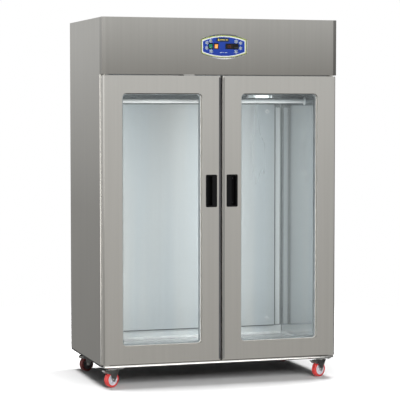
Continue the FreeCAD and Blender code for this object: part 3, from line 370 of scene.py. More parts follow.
# The rear wheels' darker looks are painted shade, as the steels' darker lower tones are painted reflection.
NODE_LOOKS = {
    "fascia": "fascia_steel", "front_strip": "trim_steel", "hinge_brackets": "edge_steel",
    "door_frame": "liner_steel", "liner_walls": "liner_wall_steel", "liner_ceiling": "hood_steel_painted_shade",
    "liner_floor": "liner_floor_steel", "duct_panel": "liner_steel", "evaporator_housing": "hood_steel_painted_shade",
    "base_pan": "underseal",
}
for side_name in SIDES:
    NODE_LOOKS.update({
        f"door_skin_{side_name}": "door_steel", f"side_panel_{side_name}": "side_steel",
        f"door_liner_{side_name}": "liner_steel", f"wheel_tread_rear_{side_name}": "tread_painted_shade",
        f"wheel_hub_rear_{side_name}": "hub_painted_shade"})


def dress_nodes():
    """Gives each CAD node its finished material: its own look, or else that of its record slot."""
    slots = {row["node"]: row["material_slot"] for row in frame["record"]["subparts"]}
    for name, node in NODES.items():
        look = MATERIALS[NODE_LOOKS.get(name, slots.get(name))]
        for place in node.material_slots:
            place.material = look


# Bevel width in mm, and the nodes that have it.
SOFT_EDGES = {
    0.4: ["set_button", "down_button"] + [f"caster_fork_{corner}" for corner in CORNERS],
    0.5: ["controller_body", "rocker_bezels", "rocker_green", "rocker_orange", "hinge_brackets",
          "cable_gland", "brake_pedal_front_left", "brake_pedal_front_right"]
         + [f"wheel_hub_{corner}" for corner in CORNERS],
    0.6: ["top_cover", "back_panel", "caster_plates"],
    0.8: ["evaporator_housing"],
    0.9: ["fascia"] + [f"{shell}_{side}" for shell in ("door_skin", "side_panel", "door_handle")
                       for side in SIDES],
    1.0: ["duct_panel", "electrical_box"],
    1.2: ["front_strip"],
}
EDGE_ANGLE = radians(32)


def soften(name, width):
    """Rounds a CAD node's sharp edges, which its split corners need welding for."""
    node = NODES[name]
    weld = node.modifiers.new("weld", "WELD")
    weld.merge_threshold = 1e-6
    bevel = node.modifiers.new("bevel", "BEVEL")
    bevel.width = width * MM
    bevel.segments = 2
    bevel.limit_method = "ANGLE"
    bevel.angle_limit = EDGE_ANGLE
    bevel.harden_normals = True


# ---- Mesh helpers ----


def place_object(name, data):
    obj = bpy.data.objects.new(name, data)
    bpy.context.scene.collection.objects.link(obj)
    return obj


def mesh_object(name, mesh, material):
    data = bpy.data.meshes.new(name)
    mesh.to_mesh(data)
    mesh.free()
    data.materials.append(material)
    return place_object(name, data)


def piece(name, mesh, look, body="cabinet"):
    """Makes an object of a bmesh built in the frame, with its material and body."""
    bmesh.ops.recalc_face_normals(mesh, faces=mesh.faces)
    obj = mesh_object(name, mesh, MATERIALS[look])
    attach(obj, body)
    return obj


def smooth(obj, angle=35):
    """Smooth faces with sharp edges kept, as marked on the mesh itself."""
    for face in obj.data.polygons:
        face.use_smooth = True
    mesh = bmesh.new()
    mesh.from_mesh(obj.data)
    for edge in mesh.edges:
        if len(edge.link_faces) == 2 and edge.calc_face_angle() > radians(angle):
            edge.smooth = False
    mesh.to_mesh(obj.data)
    mesh.free()
    return obj


def wall(mesh, first, second, closed=True):
    """Quads between two loops with as many vertices each."""
    count = len(first)
    for i in range(count if closed else count - 1):
        j = (i + 1) % count
        mesh.faces.new((first[i], first[j], second[j], second[i]))


def add_loop(mesh, points):
    return [mesh.verts.new(p) for p in points]


def add_prism(mesh, outline, low, high, chamfer=0.0):
    """A slab of a flat outline of (x, z) points, from y low to y high, its front edge chamfered."""
    middle = Vector((sum(p[0] for p in outline), sum(p[1] for p in outline))) / len(outline)
    front = add_loop(mesh, [(*draw_in(p, middle, chamfer)[:1], low, draw_in(p, middle, chamfer)[1])
                            for p in outline])
    rim = add_loop(mesh, [(p[0], low + chamfer, p[1]) for p in outline])
    rear = add_loop(mesh, [(p[0], high, p[1]) for p in outline])
    wall(mesh, front, rim)
    wall(mesh, rim, rear)
    mesh.faces.new(front)
    mesh.faces.new(rear[::-1])


def add_bar(mesh, first, second):
    """A closed solid between two outlines with as many points each."""
    loops = [add_loop(mesh, points) for points in (first, second)]
    wall(mesh, *loops)
    mesh.faces.new(loops[0])
    mesh.faces.new(loops[1][::-1])


def draw_in(point, middle, amount):
    away = Vector(point) - middle
    return Vector(point) - away.normalized() * min(amount, away.length / 2)


def add_ring(mesh, outer, inner, low, high):
    """A flat band between two outlines of (x, z) points, from y low to y high."""
    loops = [add_loop(mesh, [(p[0], y, p[1]) for p in outline])
             for outline, y in ((outer, low), (inner, low), (inner, high), (outer, high))]
    for i in range(len(loops)):
        wall(mesh, loops[i], loops[(i + 1) % len(loops)])


def add_turned(mesh, profile, place, axis, sides=20, turn=0.0):
    """A turned solid: profile is (along, radius) pairs, from a point on its axis to another."""
    lie = UP.rotation_difference(Vector(axis)).to_matrix().to_4x4()
    lie = Matrix.Translation(place) @ lie
    loops = []
    for along, radius in profile:
        if radius == 0:
            loops.append([mesh.verts.new(lie @ Vector((0, 0, along)))])
            continue
        loops.append(add_loop(mesh, [lie @ Vector((u, v, along)) for u, v in circle(sides, radius, turn)]))
    for first, second in zip(loops, loops[1:]):
        for k in range(sides):
            n = (k + 1) % sides
            corners = [first[k % len(first)], first[n % len(first)], second[n % len(second)],
                       second[k % len(second)]]
            mesh.faces.new(list(dict.fromkeys(corners)))


def circle(count, radius=1.0, start=0.0):
    """Points round a circle, as pairs."""
    return [(radius * cos(a), radius * sin(a)) for a in (2 * pi * k / count + start for k in range(count))]


def add_tube(mesh, path, radius, closed=False, sides=10):
    """A round tube that follows a path of points."""
    count = len(path)
    rings = []
    side = None
    for i, point in enumerate(path):
        before = path[i - 1] if closed or i > 0 else point
        after = path[(i + 1) % count] if closed or i < count - 1 else point
        along = (Vector(after) - Vector(before)).normalized()
        if side is None:
            side = along.orthogonal()
        side = (side - along * side.dot(along)).normalized()
        up = along.cross(side)
        round_it = [Vector(point) + radius * (u * side + v * up) for u, v in circle(sides)]
        rings.append(add_loop(mesh, round_it))
    for i in range(count if closed else count - 1):
        wall(mesh, rings[i], rings[(i + 1) % count])
    if not closed:
        mesh.faces.new(rings[0])
        mesh.faces.new(rings[-1])


def rounded(left, right, low, high, radius, steps=8):
    """A rectangle with round corners, as (x, z) points in order."""
    points = []
    for (x, z), start in (((right - radius, low + radius), -90), ((right - radius, high - radius), 0),
                          ((left + radius, high - radius), 90), ((left + radius, low + radius), 180)):
        for k in range(steps + 1):
            a = radians(start + 90 * k / steps)
            points.append((x + radius * cos(a), z + radius * sin(a)))
    return points


def screw_profile(radius, tall):
    """A pan head with a sunk socket, from its seat outwards."""
    return [(0, 0), (0, radius), (tall * 0.45, radius), (tall * 0.85, radius * 0.8), (tall, radius * 0.5),
            (tall * 0.9, radius * 0.42), (tall * 0.45, radius * 0.38), (tall * 0.45, 0)]


def screws(name, places, axis, radius, tall, look="zinc", body="cabinet"):
    mesh = bmesh.new()
    for place in places:
        add_turned(mesh, screw_profile(radius, tall), place, axis, 14)
    smooth(piece(name, mesh, look, body), 30)


def tubes(name, paths, radius, look, body="cabinet", closed=False, sides=10, angle=60):
    """A piece made of round tubes that follow paths."""
    mesh = bmesh.new()
    for path in paths:
        add_tube(mesh, path, radius, closed, sides)
    smooth(piece(name, mesh, look, body), angle)


def slabs(name, outlines, low, high, look, chamfer=0.0):
    """A piece made of flat slabs, from y low to y high."""
    mesh = bmesh.new()
    for outline in outlines:
        add_prism(mesh, outline, low, high, chamfer)
    piece(name, mesh, look)


def spaced(low, high, inset, steps):
    """Even steps from one end to the other, each end drawn in by an inset."""
    return [low + inset + (high - low - 2 * inset) * k / steps for k in range(steps + 1)]


def inset_outline(low, high, inset, radius, steps=8):
    """A box's front outline, drawn in by an inset, with round corners."""
    return rounded(low.x + inset, high.x - inset, low.z + inset, high.z - inset, radius, steps)


# ---- Control label ----

LABEL_LOW, LABEL_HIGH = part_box("label_plate")
LABEL_BULGE = 24.5 * MM
INK = 0.25 * MM


def barrel(inset, steps=24):
    """The label's outline: straight ends, with arcs below and above, drawn in by an inset."""
    left, right = LABEL_LOW.x + inset, LABEL_HIGH.x - inset
    low, high = LABEL_LOW.z + inset, LABEL_HIGH.z - inset
    half, middle = (right - left) / 2, (left + right) / 2
    radius = (half * half + LABEL_BULGE * LABEL_BULGE) / (2 * LABEL_BULGE)
    across = [-half + 2 * half * k / steps for k in range(steps + 1)]
    sags = [radius - sqrt(radius * radius - x * x) for x in across]
    return ([(middle + x, low + sag) for x, sag in zip(across, sags)]
            + [(middle - x, high - sag) for x, sag in zip(across, sags)])


def label_band(name, outer, inner, lift, look):
    mesh = bmesh.new()
    face = LABEL_LOW.y
    add_ring(mesh, barrel(outer * MM), barrel(inner * MM), face - lift, face)
    piece(name, mesh, look)


def recess_outline(ends, arcs, steps=32):
    """The outline of the label's recess: its arcs bulge further, and its corners stay level."""
    half = (LABEL_HIGH.x - LABEL_LOW.x) / 2 + ends
    middle = (LABEL_HIGH.x + LABEL_LOW.x) / 2
    bulge = LABEL_BULGE + arcs
    radius = (half * half + bulge * bulge) / (2 * bulge)
    across = [half * (2 * k / steps - 1) for k in range(steps + 1)]
    drops = [bulge - radius + sqrt(radius * radius - x * x) for x in across]
    low, high = LABEL_LOW.z + LABEL_BULGE, LABEL_HIGH.z - LABEL_BULGE
    return ([(middle + x, low - drop) for x, drop in zip(across, drops)]
            + [(middle - x, high + drop) for x, drop in zip(across, drops)])


def recess_trim():
    """A polished trim that lines the sloped wall of the label's recess."""
    face, rear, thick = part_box("fascia")[0].y, LABEL_LOW.y, 0.2 * MM
    mesh = bmesh.new()
    loops = [add_loop(mesh, [(x, y, z) for x, z in recess_outline(ends * MM, arcs * MM)])
             for ends, arcs, y in ((4.6, 9.2, face - thick), (1.3, 2.0, rear - 1.2 * thick),
                                   (1.3, 2.0, rear), (4.6, 9.2, face + thick))]
    for k in range(4):
        wall(mesh, loops[k], loops[(k + 1) % 4])
    smooth(piece("recess_trim", mesh, "trim_steel"), 40)


SNOWFLAKES = [(-86, 1952, 11.5), (-64, 1962, 12), (-88, 1923, 12), (-62, 1904, 12.5),
              (88, 1961, 12.5), (114, 1952, 11.5), (113.5, 1923, 12), (87, 1904, 12.5)]
ARM = [(0.19, -0.11), (0.46, -0.085), (0.60, -0.30), (0.73, -0.22), (0.62, -0.08), (1.0, -0.075)]


def snowflakes():
    """Six-armed crystals, each arm with a pair of side needles."""
    mesh = bmesh.new()
    arm = ARM + [(u, -v) for u, v in reversed(ARM[1:])]
    for x, z, size in SNOWFLAKES:
        outline = []
        for k in range(6):
            a = radians(60 * k + 30)
            for u, v in arm:
                outline.append(((x + size * (u * cos(a) - v * sin(a))) * MM,
                                (z + size * (u * sin(a) + v * cos(a))) * MM))
        add_prism(mesh, outline, LABEL_LOW.y - INK, LABEL_LOW.y)
    bmesh.ops.triangulate(mesh, faces=[f for f in mesh.faces if len(f.verts) > 4])
    piece("label_snowflakes", mesh, "label_frost")


def label_marks():
    """A plain dark bar with three yellow dashes above, and a row of pale dashes below."""
    face = LABEL_LOW.y
    for name, look, radius, rear, boxes in (
            ("label_bar", "label_dark", 10, face, [(-32, 46, 1957, 1981)]),
            ("label_dashes_upper", "label_yellow", 1.9, face - INK,
             [(-21, -13, 1964, 1974), (-9, 20, 1967, 1971), (24, 37, 1967, 1971)]),
            ("label_dashes_lower", "label_frost", 1.1, face,
             [(left, right, 1896, 1898.5) for left, right in ((-10, 4), (8, 14), (18, 34))])):
        outlines = [rounded(*(edge * MM for edge in (*box, radius))) for box in boxes]
        slabs(name, outlines, rear - INK, rear, look)


SEGMENT_LONG, SEGMENT_WIDE = 5.2 * MM, 1.3 * MM
DIGIT_HALF_WIDE, DIGIT_HALF_TALL, DIGIT_PITCH = 2.9 * MM, 5.8 * MM, 11 * MM
# Where each bar of a digit lies, as shares of its half width and height, and whether it lies flat.
DIGIT_BARS = ((0, 1, 1), (1, .5, 0), (1, -.5, 0), (0, -1, 1), (-1, -.5, 0), (-1, .5, 0), (0, 0, 1))
DIGITS = ((1, 1, 1, 1, 1, 1, 0), (1, 0, 1, 1, 0, 1, 1))


def display():
    """The controller's window, its two lit digits, and the raised rim round the controller."""
    low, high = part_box("controller_body")
    left, right, middle = low.x + 5 * MM, low.x + 43 * MM, (low.z + high.z) / 2
    slot, face = "black_plastic", low.y + 0.35 * MM
    window = rounded(left + 0.3 * MM, right - 0.3 * MM, low.z + 6.3 * MM, high.z - 6.3 * MM,
                     1 * MM, 4)
    slabs("controller_display", [window], face, low.y + 0.8 * MM, "display_glass")
    outlines = []
    for number, digit in enumerate(DIGITS):
        x = left + 13 * MM + DIGIT_PITCH * number
        for lit, (dx, dz, flat) in zip(digit, DIGIT_BARS):
            if lit:
                cx, cz = x + dx * DIGIT_HALF_WIDE, middle + dz * DIGIT_HALF_TALL
                wide, tall = (SEGMENT_LONG, SEGMENT_WIDE) if flat else (SEGMENT_WIDE, SEGMENT_LONG)
                outlines.append(rounded(cx - wide / 2, cx + wide / 2, cz - tall / 2, cz + tall / 2,
                                        0.6 * MM, 2))
    slabs("controller_digits", outlines, low.y + 0.15 * MM, face, "segment_red")
    mesh = bmesh.new()
    add_ring(mesh, inset_outline(low, high, 2 * MM, 2 * MM), inset_outline(low, high, 3 * MM, 1.4 * MM),
             low.y - 0.5 * MM, low.y)
    piece("controller_rim", mesh, "black_plastic")


def rocker_marks():
    """A raised ring on the lower half of each rocker."""
    for colour in ("green", "orange"):
        low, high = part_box(f"rocker_{colour}")
        middle = Vector(((low.x + high.x) / 2, low.y + 1.0 * MM, low.z + 4.4 * MM))
        ring = [(middle.x + u, middle.y, middle.z + v) for u, v in circle(24, 2 * MM)]
        tubes(f"rocker_mark_{colour}", [ring], 0.35 * MM, "label_white",
              f"{colour}_switch", True, 8, 35)


# ---- Doors ----

WINDOW_RADIUS = 25 * MM


def door_details(side):
    """The polished bead round the pane, a dark strip under its top as painted shade of the top reveal, the
    inner seal, and screws.
    """
    body = f"door_{side}"
    low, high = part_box(f"door_glass_{side}")
    bead = 2.4 * MM
    outline = inset_outline(low, high, bead, WINDOW_RADIUS - bead)
    for name, y, look, slot in (("window_bead", low.y - bead * 0.4, "trim_steel", BRIGHT_SLOT),
                                ("window_bead_inner", high.y + bead * 0.4, "seal", "gasket_rubber")):
        tubes(f"{name}_{side}", [[(x, y, z) for x, z in outline]], bead, look, body, True)
    # A dark strip under the pane's top: painted shade of the top reveal.
    y, z, short = low.y - bead, high.z - 1.4 * bead, 14 * MM
    tubes(f"window_drip_{side}", [[(low.x + short, y, z), (high.x - short, y, z)]], 0.8 * bead,
          "gasket_rubber", body)
    low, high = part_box(f"door_liner_{side}")
    inset = 30 * MM
    places = [Vector((x, high.y, z)) for z in spaced(low.z, high.z, inset, 6)
              for x in (low.x + inset, high.x - inset)]
    screws(f"door_screws_{side}", places, (0, 1, 0), 4 * MM, 1.6 * MM, body=body)


def closing_side(side, low, high):
    """The x of a door's closing edge, and the sign of x towards it."""
    return (high.x, 1) if side == "left" else (low.x, -1)


def edge_guard(side, look):
    """A thin cover over a door's rounded closing edge, dark as painted shade of the gap between the doors:
    in the black rubber look on the left one, in a darkened copy of the door steel on the right.
    """
    low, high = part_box(f"door_skin_{side}")
    edge, inward = closing_side(side, low, high)
    bend, thick, flap, short = 8 * MM, 0.4 * MM, 5 * MM, 9 * MM
    x, y = edge - inward * bend, low.y + bend
    section = [(x - inward * flap, low.y)]
    for reach, turns in ((bend, range(9)), (bend + thick, range(8, -1, -1))):
        for a in (radians(90 * k / 8) for k in turns):
            section.append((x + inward * reach * sin(a), y - reach * cos(a)))
    section.append((x - inward * flap, low.y - thick))
    mesh = bmesh.new()
    add_bar(mesh, *([(across, back, z) for across, back in section]
                    for z in (low.z + short, high.z - short)))
    smooth(piece(f"closing_edge_{side}", mesh, look, f"door_{side}"))


def gasket_folds(side):
    """Two fine ribs that run round the door seal's outer face."""
    low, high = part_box(f"door_gasket_{side}")
    paths = [[(x, high.y - 0.9 * MM, z) for x, z in inset_outline(low, high, inset, 3 * MM, 4)]
             for inset in (4 * MM, 12 * MM)]
    tubes(f"gasket_ribs_{side}", paths, 1.1 * MM, "gasket_rubber", f"door_{side}", True, 8)


GRIP_RIB, GRIP_PITCH = 0.7 * MM, 4.4 * MM
LIP_REACH, CUP_REACH = 18 * MM, 48 * MM


def handle_details(side):
    """Grip ribs on the lip of each recessed pull, and its two fixing screws inside the cup."""
    low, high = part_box(f"door_handle_{side}")
    edge, inward = closing_side(side, low, high)
    lip, cup = edge - inward * LIP_REACH, edge - inward * CUP_REACH
    ends = (low.z + 14 * MM, high.z - 14 * MM)
    ribs = [[(lip + inward * k * GRIP_PITCH, low.y + GRIP_RIB, z) for z in ends] for k in (-1, 0, 1)]
    tubes(f"handle_ribs_{side}", ribs, GRIP_RIB, "handle_plastic", f"door_{side}",
          sides=8)
    places = [Vector((cup, high.y - 3 * MM, z)) for z in (low.z + 22 * MM, high.z - 22 * MM)]
    screws(f"handle_screws_{side}", places, (0, -1, 0), 3.6 * MM, 1.6 * MM, "black_paint", f"door_{side}")


# ---- Cabinet shell ----


def striker():
    """The small catch plate that hangs from the fascia's lower edge over the left door."""
    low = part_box("fascia")[0]
    outline = rounded(-225 * MM, -160 * MM, low.z - 4.2 * MM, low.z + 0.2 * MM, 1.2 * MM, 4)
    front, rear = low.y + 3 * MM, low.y + 22 * MM
    slabs("door_striker", [outline], front, rear, "edge_steel", 0.5 * MM)


EDGE_TUBE = 2.8 * MM


def body_edges():
    """The folded bright edge down each side of the body, just clear of the doors' sweep."""
    for side in SIDES:
        low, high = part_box(f"side_panel_{side}")
        x = low.x + EDGE_TUBE if side == "left" else high.x - EDGE_TUBE
        ends = (low.z + 8 * MM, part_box("fascia")[0].z - 1 * MM)
        tubes(f"body_edge_{side}", [[(x, low.y - 1.2 * MM, z) for z in ends]], EDGE_TUBE, "trim_steel",
              sides=16)


def shell_screws():
    """Screws round the back panel and through the hinge brackets."""
    low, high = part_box("back_panel")
    inset = 16 * MM
    places = [Vector((x, high.y, z)) for z in spaced(low.z, high.z, inset, 8)
              for x in (low.x + inset, high.x - inset)]
    places += [Vector((x, high.y, z)) for x in spaced(low.x, high.x, inset, 6)[1:-1]
               for z in (low.z + inset, high.z - inset)]
    screws("back_panel_screws", places, (0, 1, 0), 4.5 * MM, 2 * MM)
    low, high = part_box("hinge_brackets")
    bolts = [Vector((x, low.y + 34 * MM, low.z + 2 * MM)) for x in (low.x + 8 * MM, high.x - 8 * MM)]
    screws("hinge_screws", bolts, (0, 0, 1), 3 * MM, 0.9 * MM)


LOUVRES, LOUVRE_PITCH, LOUVRE_FIRST, LOUVRE_HALF = 10, 22, 1830.5, 262 * MM


def vent_louvres():
    """A folded lip over each of the back panel's slots."""
    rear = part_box("back_panel")[1].y
    mesh = bmesh.new()
    for k in range(LOUVRES):
        z = (LOUVRE_FIRST + LOUVRE_PITCH * k) * MM
        lip = [(-LOUVRE_HALF, rear, z + 1.5 * MM), (LOUVRE_HALF, rear, z + 1.5 * MM),
               (LOUVRE_HALF, rear + 5.5 * MM, z - 5 * MM), (-LOUVRE_HALF, rear + 5.5 * MM, z - 5 * MM)]
        add_bar(mesh, lip, [(x, y - 0.2 * MM, up - 1.0 * MM) for x, y, up in lip])
    piece("back_louvres", mesh, "galvanised")


def back_plate():
    """A blank data plate with four rivets, high on the back panel."""
    rear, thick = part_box("back_panel")[1].y, 0.8 * MM
    outline = rounded(430 * MM, 550 * MM, 1700 * MM, 1770 * MM, 4 * MM)
    slabs("data_plate", [outline], rear, rear + thick, "plate")
    places = [Vector((x * MM, rear + thick, z * MM)) for x in (436, 544) for z in (1706, 1764)]
    screws("data_plate_rivets", places, (0, 1, 0), 2 * MM, 0.9 * MM)


# ---- Chamber ----


def duct_fasteners():
    """Quarter-turn fasteners, each in a pale diamond-shaped frame, near the duct panel's corners."""
    low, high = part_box("duct_panel")
    caps, frames = bmesh.new(), bmesh.new()
    cap = [(0, 0), (0, 5.4 * MM), (0.6 * MM, 5.4 * MM), (1 * MM, 4.6 * MM), (1 * MM, 0)]
    for x in (low.x + 49 * MM, high.x - 49 * MM):
        for z in (low.z + 44 * MM, high.z - 44 * MM):
            add_turned(caps, cap, Vector((x, low.y, z)), (0, -1, 0), 24)
            outer, inner = ([(x + u, z + v) for u, v in circle(4, reach * MM)] for reach in (15, 8.6))
            add_ring(frames, outer, inner, low.y - 1.4 * MM, low.y)
    smooth(piece("duct_fasteners", caps, "liner_steel"))
    piece("duct_fastener_frames", frames, "bright_white")


def chamber_seams():
    """Dark strips down the duct panel's two edges and in the liner's back corners: painted shadow of the
    gaps there.
    """
    duct_low, duct_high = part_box("duct_panel")
    walls_low, walls_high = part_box("liner_walls")
    sheet, strip = 2 * MM, 3 * MM
    outlines = [rounded(x - strip / 2, x + strip / 2, duct_low.z, duct_high.z, 1 * MM, 3)
                for x in (duct_low.x - strip / 2, duct_high.x + strip / 2)]
    slabs("duct_edge_strips", outlines, duct_low.y + 0.5 * MM, duct_high.y, "seam_painted_shade")
    back = walls_high.y - sheet
    paths = [[(x, back, z) for z in (duct_low.z - 40 * MM, duct_high.z - 4 * MM)]
             for x in (walls_low.x + sheet, walls_high.x - sheet)]
    tubes("liner_corner_strips", paths, 3 * MM, "seam_painted_shade", sides=12)


COVE_Z, COVE_RADIUS = 174 * MM, 10 * MM


def corner_covers():
    """Plain bright cover strips beside the duct panel, and the kick plate below it."""
    duct_low, duct_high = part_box("duct_panel")
    walls_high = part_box("liner_walls")[1]
    half, back = 14 * MM, walls_high.y - 2 * MM
    middle = (duct_high.x + 3 * MM + walls_high.x - 5 * MM) / 2
    outlines = [rounded(x - half, x + half, duct_low.z, duct_high.z - 20 * MM, 3 * MM, 4)
                for x in (-middle, middle)]
    slabs("corner_covers", outlines, back - 3 * MM, back, "cover_steel", 0.8 * MM)
    outline = rounded(4 * MM - walls_high.x, walls_high.x - 4 * MM, COVE_Z + 6 * MM,
                      duct_low.z - 5.5 * MM, 1 * MM, 3)
    slabs("kick_plate", [outline], back - 1.2 * MM, back, "cover_steel", 0.3 * MM)


def rail_plates():
    """A dark plate high on each side wall, behind the hanging rail's flange: painted shade of the chamber's
    upper band.
    """
    low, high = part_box("hanging_rail")
    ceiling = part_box("liner_ceiling")[0]
    front, rear = ceiling.y + 24 * MM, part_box("duct_panel")[1].y - 4 * MM
    foot, head, thick = low.z - 2 * MM, ceiling.z - 1 * MM, 1.4 * MM
    mesh = bmesh.new()
    for x in (low.x, high.x - thick):
        add_bar(mesh, *([(across, front, foot), (across, rear, foot), (across, rear, head),
                         (across, front, head)] for across in (x, x + thick)))
    piece("rail_shade_plates", mesh, "hood_steel_painted_shade")


def duct_foot_lines():
    """A dark strip under the duct panel, painted shade at its foot, and the round cove along the floor's
    back edge, white as a painted reflection.
    """
    low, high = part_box("duct_panel")
    slot = rounded(low.x, high.x, low.z - 5 * MM, low.z, 1 * MM, 3)
    slabs("duct_foot_lines", [slot], low.y + 1 * MM, high.y, "painted_shade_black")
    walls_low, walls_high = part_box("liner_walls")
    ends = (walls_low.x + 12 * MM, walls_high.x - 12 * MM)
    cove = [(x, high.y - COVE_RADIUS * 0.6, COVE_Z) for x in ends]
    # The cove's bright white is a painted reflection.
    tubes("floor_cove", [cove], COVE_RADIUS, "bright_white", sides=20)


LAMP_ENDS, LAMP_Z, LAMP_RADIUS = (345 * MM, 503 * MM), 1652 * MM, 9 * MM


def housing_lamp():
    """The lamp on the front of the evaporator housing: a lit diffuser in two end caps."""
    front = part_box("evaporator_housing")[0].y
    arc = circle(24, LAMP_RADIUS, radians(90))[:13]
    mesh = bmesh.new()
    add_bar(mesh, *([(x, front + u, LAMP_Z + v) for u, v in arc] for x in LAMP_ENDS))
    smooth(piece("chamber_lamp", mesh, "lamp"), 60)
    mesh = bmesh.new()
    half_cap = [(-5 * MM, 0), (-5 * MM, 8 * MM), (-3.5 * MM, 10.5 * MM)]
    cap = half_cap + [(-along, radius) for along, radius in reversed(half_cap)]
    for x in LAMP_ENDS:
        add_turned(mesh, cap, Vector((x, front - 0.5 * MM, LAMP_Z)), (1, 0, 0), 20)
    smooth(piece("chamber_lamp_caps", mesh, "grey_plastic"))


RAIL_SCREW_REACH = 18.5 * MM


def rail_screws():
    """Three screws through each of the hanging rail's flanges."""
    low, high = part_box("hanging_rail")
    middle_y, middle_z = (low.y + high.y) / 2, (low.z + high.z) / 2
    mesh = bmesh.new()
    for x, axis in ((low.x + 4 * MM, (1, 0, 0)), (high.x - 4 * MM, (-1, 0, 0))):
        for u, v in circle(3, RAIL_SCREW_REACH, radians(90)):
            spot = Vector((x, middle_y + u, middle_z + v))
            add_turned(mesh, screw_profile(3 * MM, 1.6 * MM), spot, axis, 12)
    smooth(piece("rail_screws", mesh, "zinc"))


def machine_pipes():
    """Copper lines from the compressor to the condenser and down towards the evaporator."""
    can_low, can_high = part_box("compressor")
    coil_low, coil_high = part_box("condenser_coil")
    top = can_high.z - 40 * MM
    start = Vector(((can_low.x + can_high.x) / 2 - 60 * MM, (can_low.y + can_high.y) / 2, top))
    end = Vector((coil_high.x + 4 * MM, (coil_low.y + coil_high.y) / 2, coil_high.z - 50 * MM))
    path = []
    for t in (k / 32 for k in range(33)):
        sag = sin(pi * t) * 30 * MM
        path.append(start.lerp(end, t) + Vector((0, -sag, sag)))
    mesh = bmesh.new()
    add_tube(mesh, path, 4 * MM)
    drop_start = Vector((can_low.x + 40 * MM, can_low.y + 60 * MM, can_low.z + 60 * MM))
    drop = [drop_start + Vector((-40 * MM * sin(pi * t), -60 * MM * t, -52 * MM * t))
            for t in (k / 20 for k in range(21))]
    add_tube(mesh, drop, 6 * MM)
    smooth(piece("machine_pipes", mesh, "copper"), 60)


# ---- Casters ----

HUB_WEB, HUB_EYE, RIB_COUNT = 27 * MM, 11 * MM, 6
BOX_FACES = ((0, 1, 3, 2), (4, 5, 7, 6), (0, 1, 5, 4), (2, 3, 7, 6), (0, 2, 6, 4), (1, 3, 7, 5))


def wheel_details(corner):
    """Ribs in the hub's dished faces, a mould line round the tread, and a nut at each axle end."""
    joint = JOINTS[f"roll_{corner}"]
    centre, axle = Vector(joint["pos_m"]), Vector(joint["axis"])
    ahead = axle.cross(UP).normalized()
    mesh = bmesh.new()
    for face in (-1, 1):
        for u, v in circle(RIB_COUNT):
            out = ahead * u + UP * v
            across = axle.cross(out)
            corners = [centre + out * along + across * half * s + axle * face * depth
                       for depth in (7.5 * MM, 12 * MM)
                       for along, half in ((HUB_EYE - 1 * MM, 1.6 * MM), (HUB_WEB + 1 * MM, 1.1 * MM))
                       for s in (-1, 1)]
            made = add_loop(mesh, corners)
            for loop in BOX_FACES:
                mesh.faces.new([made[i] for i in loop])
    # The rear corners get the darker copies of hub and tread: painted shade.
    hub, tread = ("hub_painted_shade", "tread_painted_shade") if corner.startswith("rear") else ("hub_nylon", "tread_red")
    piece(f"hub_ribs_{corner}", mesh, hub, f"wheel_{corner}")
    line = [centre + (ahead * u + UP * v) * 44.5 * MM for u, v in circle(64)]
    tubes(f"tread_line_{corner}", [line], 0.5 * MM, tread, f"wheel_{corner}", True, 6)
    mesh = bmesh.new()
    nut = [(0, 0), (0, 6.8 * MM), (2.6 * MM, 6.8 * MM), (3.2 * MM, 6 * MM), (3.2 * MM, 0)]
    for face in (-1, 1):
        add_turned(mesh, nut, centre + axle * face * 24.5 * MM, axle * face, 6, radians(15))
    piece(f"axle_nuts_{corner}", mesh, "zinc", f"caster_{corner}")


def swivel_details(corner):
    """The swivel head's dust ring, under the mounting plate."""
    centre = Vector(JOINTS[f"swivel_{corner}"]["pos_m"])
    ring = [(centre.x + u, centre.y + v, 104.6 * MM) for u, v in circle(40, 24 * MM)]
    tubes(f"swivel_ring_{corner}", [ring], 2.2 * MM, "zinc", f"caster_{corner}", True, 8)


def pedal_details(corner):
    """Grip ridges across the top of the brake pedal."""
    joint = JOINTS[f"brake_{corner}"]
    pivot, pin = Vector(joint["pos_m"]), Vector(joint["axis"])
    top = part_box(f"brake_pedal_{corner}")[1].z
    back = pin.cross(UP).normalized()
    if back.dot(pivot - Vector(JOINTS[f"swivel_{corner}"]["pos_m"])) < 0:
        back = -back
    ridges = []
    for k in range(3):
        spot = pivot + back * (19 + 2.6 * k) * MM
        spot.z = top - (2.2 - 0.9 * k) * MM
        ridges.append([spot - pin * 10 * MM, spot + pin * 10 * MM])
    tubes(f"pedal_ridges_{corner}", ridges, 0.7 * MM, "zinc", f"pedal_{corner}", sides=8)


# ---- Studio ----

FLOOR_FADE = (1.6, 3.6)


def floor():
    """A pale floor that fades out away from the cabinet, so that it meets the pale backdrop."""
    s = Shader()
    s.material.name = "floor"
    s.set(Roughness=0.9, Specular_IOR_Level=0.0)
    grain = s.noise((30, 30, 30), 3.0)
    s.set(Base_Color=s.mix(grain, (0.80, 0.80, 0.80), (0.83, 0.83, 0.83)))
    reach = s.node("ShaderNodeVectorMath", operation="LENGTH")
    s.link(s.place, reach.inputs[0])
    away = s.between(reach.outputs["Value"], *FLOOR_FADE, 0.0, 1.0)
    s.blend(away, s.surface.outputs[0], s.node("ShaderNodeBsdfTransparent").outputs[0])
    mesh = bmesh.new()
    mesh.faces.new(add_loop(mesh, [(x, y, 0) for x, y in circle(48, 4)]))
    plane = mesh_object("floor", mesh, s.material)
    plane.visible_glossy = False
    return plane


def softbox(name, place, target, size, power, colour=(1, 1, 1)):
    light = bpy.data.lights.new(name, "AREA")
    light.shape = "RECTANGLE"
    light.size, light.size_y = size
    light.energy = power
    light.color = colour
    obj = place_object(name, light)
    obj.location = place
    obj.rotation_euler = (Vector(target) - Vector(place)).to_track_quat("-Z", "Y").to_euler()
    obj.visible_camera = False
    return obj


